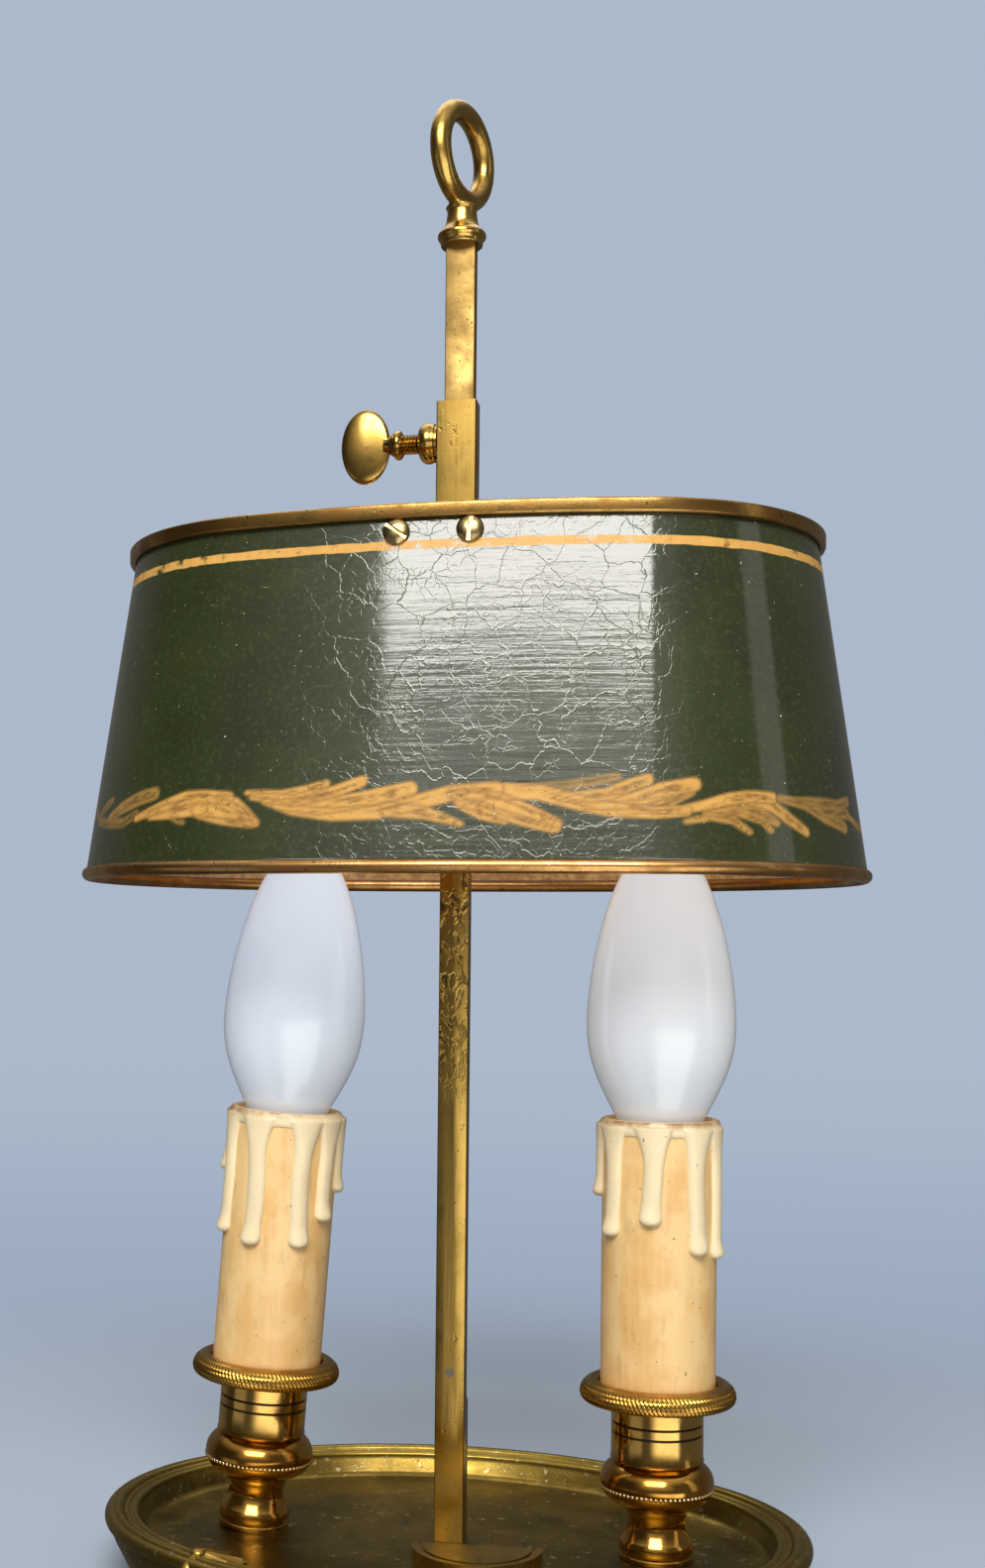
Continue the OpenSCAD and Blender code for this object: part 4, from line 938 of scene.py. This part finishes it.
for points, start_w, end_w, strength in leaf_strokes:
    spots = np.array(points, float)
    veins = []
    for _ in range(5):
        first = rng.integers(0, max(1, len(spots) - 1))
        sideways = rng.uniform(-0.6, 0.6) * (start_w + end_w) / 2
        veins.append((spots[first:] + [0, sideways], rng.uniform(8, 20)))
    for lap in (0, 2 * half_round):
        local = near & (np.abs(u + lap - spots[:, 0].mean()) < np.ptp(spots[:, 0]) / 2 + 4)
        if not local.any():
            continue
        across, up = u[local] + lap, v[local]
        gap, part = stroke_gap(across, up, spots, start_w, end_w)
        gold[local] = np.maximum(gold[local], np.clip(0.5 - gap / 0.45, 0, 1) * strength)
        vein[local] = np.maximum(vein[local], np.exp(-((gap / 0.35) ** 2)) * strength * 0.6)
        for run, dashes in veins:
            gap, part = stroke_gap(across, up, run, 0.0, 0.05)
            dash = 0.5 + 0.5 * np.sin(part * dashes)
            vein[local] = np.maximum(vein[local], np.clip(0.5 - gap / 0.35, 0, 1) * dash * 0.9)
for name, values in (("gold", gold), ("vein", vein)):
    mesh.attributes.new(name, "FLOAT", "POINT").data.foreach_set("value", values.astype(np.float32))
front = np.exp(-((u - 14) / 46) ** 2) * np.where(y < 0, 1.0, 0.75)
mesh.attributes.new("crackled", "FLOAT", "POINT").data.foreach_set("value", front.astype(np.float32))


def drawn(tree, name):
    """A painted mask kept on the mesh."""
    return put(tree, "ShaderNodeAttribute", attribute_name=name).outputs["Fac"]


height = height_of(tree, where)
crackled = drawn(tree, "crackled")
cloudy = ease(tree, grain(tree, where, 35, 4), 0.35, 0.65)
green = blend(tree, cloudy, (0.023, 0.032, 0.006, 1), (0.0155, 0.022, 0.004, 1))
dusty = ease(tree, grain(tree, where, 900, 4), 0.5, 0.72, 0.0, 0.4)
green = blend(tree, dusty, green, (0.06, 0.072, 0.03, 1))
wander = put(tree, "ShaderNodeTexNoise", {"Vector": where, "Scale": 160.0, "Detail": 3.0}).outputs["Color"]
wander = put(tree, "ShaderNodeVectorMath", {0: wander, "Scale": 0.006}, operation="SCALE").outputs[0]
warped = put(tree, "ShaderNodeVectorMath", {0: where, 1: wander}, operation="ADD").outputs[0]


def crack_lines(scale, width):
    """Lines between the plates of crackled varnish, plates per metre and width as a share of one."""
    plates = put(
        tree, "ShaderNodeTexVoronoi", {"Vector": warped, "Scale": scale}, feature="DISTANCE_TO_EDGE"
    ).outputs[0]
    return ease(tree, plates, 0.0, width, 1.0, 0.0)


big_line = crack_lines(115.0, 0.020)
small_line = times(tree, crack_lines(330.0, 0.05), ease(tree, grain(tree, where, 90, 3), 0.42, 0.6))
lines = calc(tree, "MAXIMUM", big_line, times(tree, small_line, 0.6))
lines = times(tree, lines, ease(tree, crackled, 0.12, 0.75))
stripe = calc(tree, "ABSOLUTE", calc(tree, "SUBTRACT", height, 0.2449))
wobble = times(tree, calc(tree, "SUBTRACT", grain(tree, where, 200, 3), 0.5), 0.0008)
stripe = ease(tree, calc(tree, "ADD", stripe, wobble), 0.00085, 0.00115, 1.0, 0.0)
stripe_wear = ease(tree, grain(tree, where, 260, 5), 0.28, 0.45)
gold_mask = calc(tree, "MAXIMUM", drawn(tree, "gold"), times(tree, stripe, stripe_wear))
gold_tone = blend(tree, grain(tree, where, 420, 5), (0.68, 0.385, 0.10, 1), (0.50, 0.26, 0.06, 1))
gold_tone = blend(tree, times(tree, drawn(tree, "vein"), 0.85), gold_tone, (0.13, 0.055, 0.014, 1))
worn = ease(tree, grain(tree, where, 700, 4), 0.62, 0.72, 0.0, 0.5)
painted = blend(tree, times(tree, gold_mask, calc(tree, "SUBTRACT", 1.0, worn)), green, gold_tone)
# The crack lines are tinted pale: partly the crazing's own colour, partly a painted highlight on their
# ridges.
painted = blend(tree, times(tree, lines, 0.14), painted, (0.30, 0.29, 0.20, 1))
specks = ease(tree, grain(tree, where, 1300, 1), 0.775, 0.80, 0.0, 0.8)
painted = blend(tree, specks, painted, (0.62, 0.60, 0.50, 1))
paint(tree, shader, painted)
ripple = grain(tree, where, 420, 4, stretch=(0.09, 0.09, 1.6))
for side in ("Normal", "Coat Normal"):
    relief(tree, shader, ripple, 0.055, side)
    relief(tree, shader, lines, 0.022, side)
    relief(tree, shader, grain(tree, where, 1500, 3), 0.006, side)
tune(shader, {"Specular IOR Level": 0.2, "Coat IOR": 1.65})
varnish = calc(tree, "SUBTRACT", 1.0, times(tree, gold_mask, 0.9))
tree.links.new(varnish, shader.inputs["Coat Weight"])
haze = ease(tree, grain(tree, where, 120, 5), 0.3, 0.7, 0.05, 0.12)
tree.links.new(haze, shader.inputs["Coat Roughness"])

lining_coat, tree, shader, where = coat("tan lining paint", 0.5)
mottle = ease(tree, grain(tree, where, 500, 5), 0.38, 0.62)
tone = blend(tree, mottle, (0.66, 0.38, 0.12, 1), (0.44, 0.22, 0.06, 1))
stain = ease(tree, grain(tree, where, 90, 5, warp=1.0), 0.60, 0.68, 0.0, 0.7)
tone = blend(tree, stain, tone, (0.20, 0.045, 0.015, 1))
speck = ease(tree, grain(tree, where, 1200, 3), 0.62, 0.7, 0.0, 0.6)
paint(tree, shader, blend(tree, speck, tone, (0.13, 0.06, 0.025, 1)))
relief(tree, shader, grain(tree, where, 900, 4), 0.06)
mesh.materials.append(lining_coat)

# ---- shade trim ----
# A brass lip is folded over the shade's top, and a rolled brass bead closes its bottom edge.
# Both have gone brown, with clouds of tarnish and small dark spots.
lip_coat = brass(
    "lip brass", (0.48, 0.28, 0.08, 1), (0.25, 0.13, 0.035, 1), (0.06, 0.03, 0.010, 1), 0.26,
    cloud=110, spots=0.55,
)[0]
bead_coat = brass(
    "bead brass", (0.58, 0.33, 0.12, 1), (0.36, 0.18, 0.06, 1), (0.07, 0.03, 0.010, 1), 0.28,
    cloud=100, spots=0.5,
)[0]
lip_outline = (
    [(-1.05, wall_top + 0.02), (-1.1, wall_top + 1.0)] + bow(-0.5, wall_top + 1.1, 0.58, 170, 95, 5)
    + bow(1.1, wall_top + 1.0, 0.68, 85, 0, 6) + bow(1.2, wall_top - 1.1, 0.58, 0, -85, 5)
    + [(0.5, wall_top - 1.68), (0.3, wall_top + 0.02)]
)
bm = shade_oval(lip_outline, shade_top_r, 1.0)
piece(bm, "folded_lip", lip_coat, "shade", ["shade_lip"], sharp=60)
bead_r = 1.6
bead_outline = bow(-0.4, wall_low - bead_r, bead_r, 0, 345, 23)
bm = shade_oval(bead_outline, shade_top_r + shade_flare, 1.0)
piece(bm, "rolled_bead", bead_coat, "shade", ["shade_bead"], sharp=60)
dress(["shade_strap", "strap_nuts"], inner_coat)

# ---- shade screws ----
# Two round-headed slotted screws in front and two behind hold the wall to the strap.
# Their brass has gone grey-brown, and each slot is left at its own angle.
screw_coat = brass(
    "screw brass", (0.50, 0.38, 0.18, 1), (0.26, 0.19, 0.085, 1), (0.06, 0.04, 0.015, 1), 0.24,
    cloud=300, spots=0.5,
)[0]
head_r, shank_r, screw_gap, screw_z = 3.05, 1.5, 16.4, wall_top - 4.5
slot_w, slot_floor = 0.9, 0.75
slope = shade_flare / (wall_top - wall_low)
screw_arc_r = shade_top_r + (wall_top - screw_z) * slope + shade_side + shade_shift
head_outline = (
    [(0.001, -5.5), (shank_r, -5.5), (shank_r, 0.04), (head_r - 0.1, 0.04), (head_r, 0.2)]
    + [(head_r - 0.02, 0.45)]
    + [(head_r * math.sin(t), 0.4 + 1.25 * math.cos(t)) for t in (1.3, 1.1, 0.9, 0.7, 0.5, 0.3, 0.15)]
    + [(0.001, 1.65)]
)
screws, slots = bmesh.new(), bmesh.new()
for half_turn in (0, math.pi):
    for side, slot_turn in ((-1, -35), (1, 84)):
        place = Matrix.Translation((shade_right * mm, 0, 0)) @ Matrix.Rotation(half_turn, 4, "Z")
        place = place @ Matrix.Translation((0, shade_shift * mm, 0))
        place = place @ Matrix.Rotation(math.asin(side * screw_gap / 2 / screw_arc_r), 4, "Z")
        place = place @ Matrix.Translation((0, -screw_arc_r * mm, screw_z * mm))
        place = place @ Matrix.Rotation(math.pi / 2 - math.atan(slope), 4, "X")
        head = turned(head_outline, 48)
        place_by(head, place)
        join_into(screws, head)
        slot = bmesh.ops.create_cube(slots, size=1)["verts"]
        bmesh.ops.scale(slots, verts=slot, vec=(8 * mm, slot_w * mm, 2 * mm))
        bmesh.ops.translate(slots, verts=slot, vec=(0, 0, (slot_floor + 1) * mm))
        place = place @ Matrix.Rotation(math.radians(slot_turn), 4, "Z")
        bmesh.ops.transform(slots, matrix=place, verts=slot)
slotted = piece(screws, "slotted_screws", screw_coat, "shade", ["strap_screws"], sharp=40)
cut_hole(slotted, slots)

# ---- sleeve and thumbscrew ----
# A sleeve of folded brass sheet slides on the stem and carries the shade; its seam shows in front.
# A thumbscrew with a domed oval plate runs through a domed boss and presses a shoe on the stem.
sleeve_coat, tree, shader, where = brass(
    "sleeve brass", (0.42, 0.275, 0.068, 1), (0.28, 0.175, 0.040, 1), (0.09, 0.052, 0.015, 1), 0.25,
    cloud=90, spots=0.5, brushed=(1, 1, 0.06),
)
sleeve_low, sleeve_top, thumb_z = 235.5, 290.5, 281.0
sleeve_left, sleeve_right, sleeve_y = -5.37, 4.4, 3.35
bore_left, bore_right, bore_y = -4.22, 3.7, 2.05
bm = block((sleeve_left, -sleeve_y, sleeve_low), (sleeve_right, sleeve_y, sleeve_top))
round_edges(bm, [e for e in bm.edges if abs(e.verts[0].co.z - e.verts[1].co.z) > 0.01], 0.35, 4)
sleeve = piece(bm, "folded_sleeve", sleeve_coat, "shade", ["sleeve"])
bore = (bore_left, -bore_y, sleeve_low - 2), (bore_right, bore_y, sleeve_top + 2)
seam = (-0.45, -sleeve_y - 1, sleeve_low - 2), (-0.2, -sleeve_y + 0.3, sleeve_top - 6)
shoe_pocket = (bore_left - 1.75, -2.0, thumb_z - 4.1), (bore_left + 0.5, 2.0, thumb_z + 4.1)
for low, high in (bore, seam, shoe_pocket):
    cut_hole(sleeve, block(low, high))
sleeve.data.set_sharp_from_angle(angle=math.radians(20))

across = Matrix.Translation((0, 0, thumb_z * mm)) @ Matrix.Rotation(-math.pi / 2, 4, "Y")
boss_coat = brass(
    "thumbscrew brass", (0.58, 0.38, 0.10, 1), (0.33, 0.20, 0.045, 1), (0.09, 0.05, 0.014, 1), 0.16,
    cloud=130, spots=0.5, pits=0.004,
)[0]
boss_x = -sleeve_left
bm = turned(
    [(2.5, boss_x), (4.25, boss_x), (4.25, boss_x + 0.5), (4.65, boss_x + 0.7)]
    + bow(2.65, boss_x + 2.4, 2.3, -30, 88, 16) + [(2.5, boss_x + 4.68)], 64,
)
place_by(bm, across)
boss = piece(bm, "domed_boss", boss_coat, "shade", ["thumb_boss"], sharp=40)
cut_hole(boss, block(*shoe_pocket))

thumb_r, collar_at = 2.45, boss_x + 4.7 + 4.2
thread = [(thumb_r - (0.32 if i % 2 else 0.0), boss_x - 1.1 + 0.4 * i) for i in range(25)]
thread = [(r, h) for r, h in thread if h < collar_at - 0.15]
bm = turned(
    [(0.01, boss_x - 1.1)] + thread + [(2.2, collar_at - 0.1)] + bow(2.5, collar_at + 1.1, 1.1, -70, 70, 12)
    + [(2.7, collar_at + 2.4), (2.3, collar_at + 3.0), (1.75, collar_at + 3.8), (1.6, collar_at + 4.8)]
    + [(0.01, collar_at + 5.0)], 64,
)
place_by(bm, across)
plate_half_w, plate_half_h = 6.2, 9.3
plate = turned(
    [(0.001, -0.9), (0.8, -0.7), (0.95, -0.45), (1.0, -0.1), (0.97, 0.2), (0.88, 0.42), (0.7, 0.66)]
    + [(0.45, 0.84), (0.2, 0.93), (0.001, 0.95)], 96,
)
bmesh.ops.scale(plate, verts=plate.verts, vec=(plate_half_w, plate_half_h, 1))
turn_by(plate, 90, "X")
shift_by(plate, -(collar_at + 3.2 + plate_half_w), 0, thumb_z)
join_into(bm, plate)
piece(bm, "thumb_plate_screw", boss_coat, "thumbscrew", ["thumbscrew"], sharp=40)
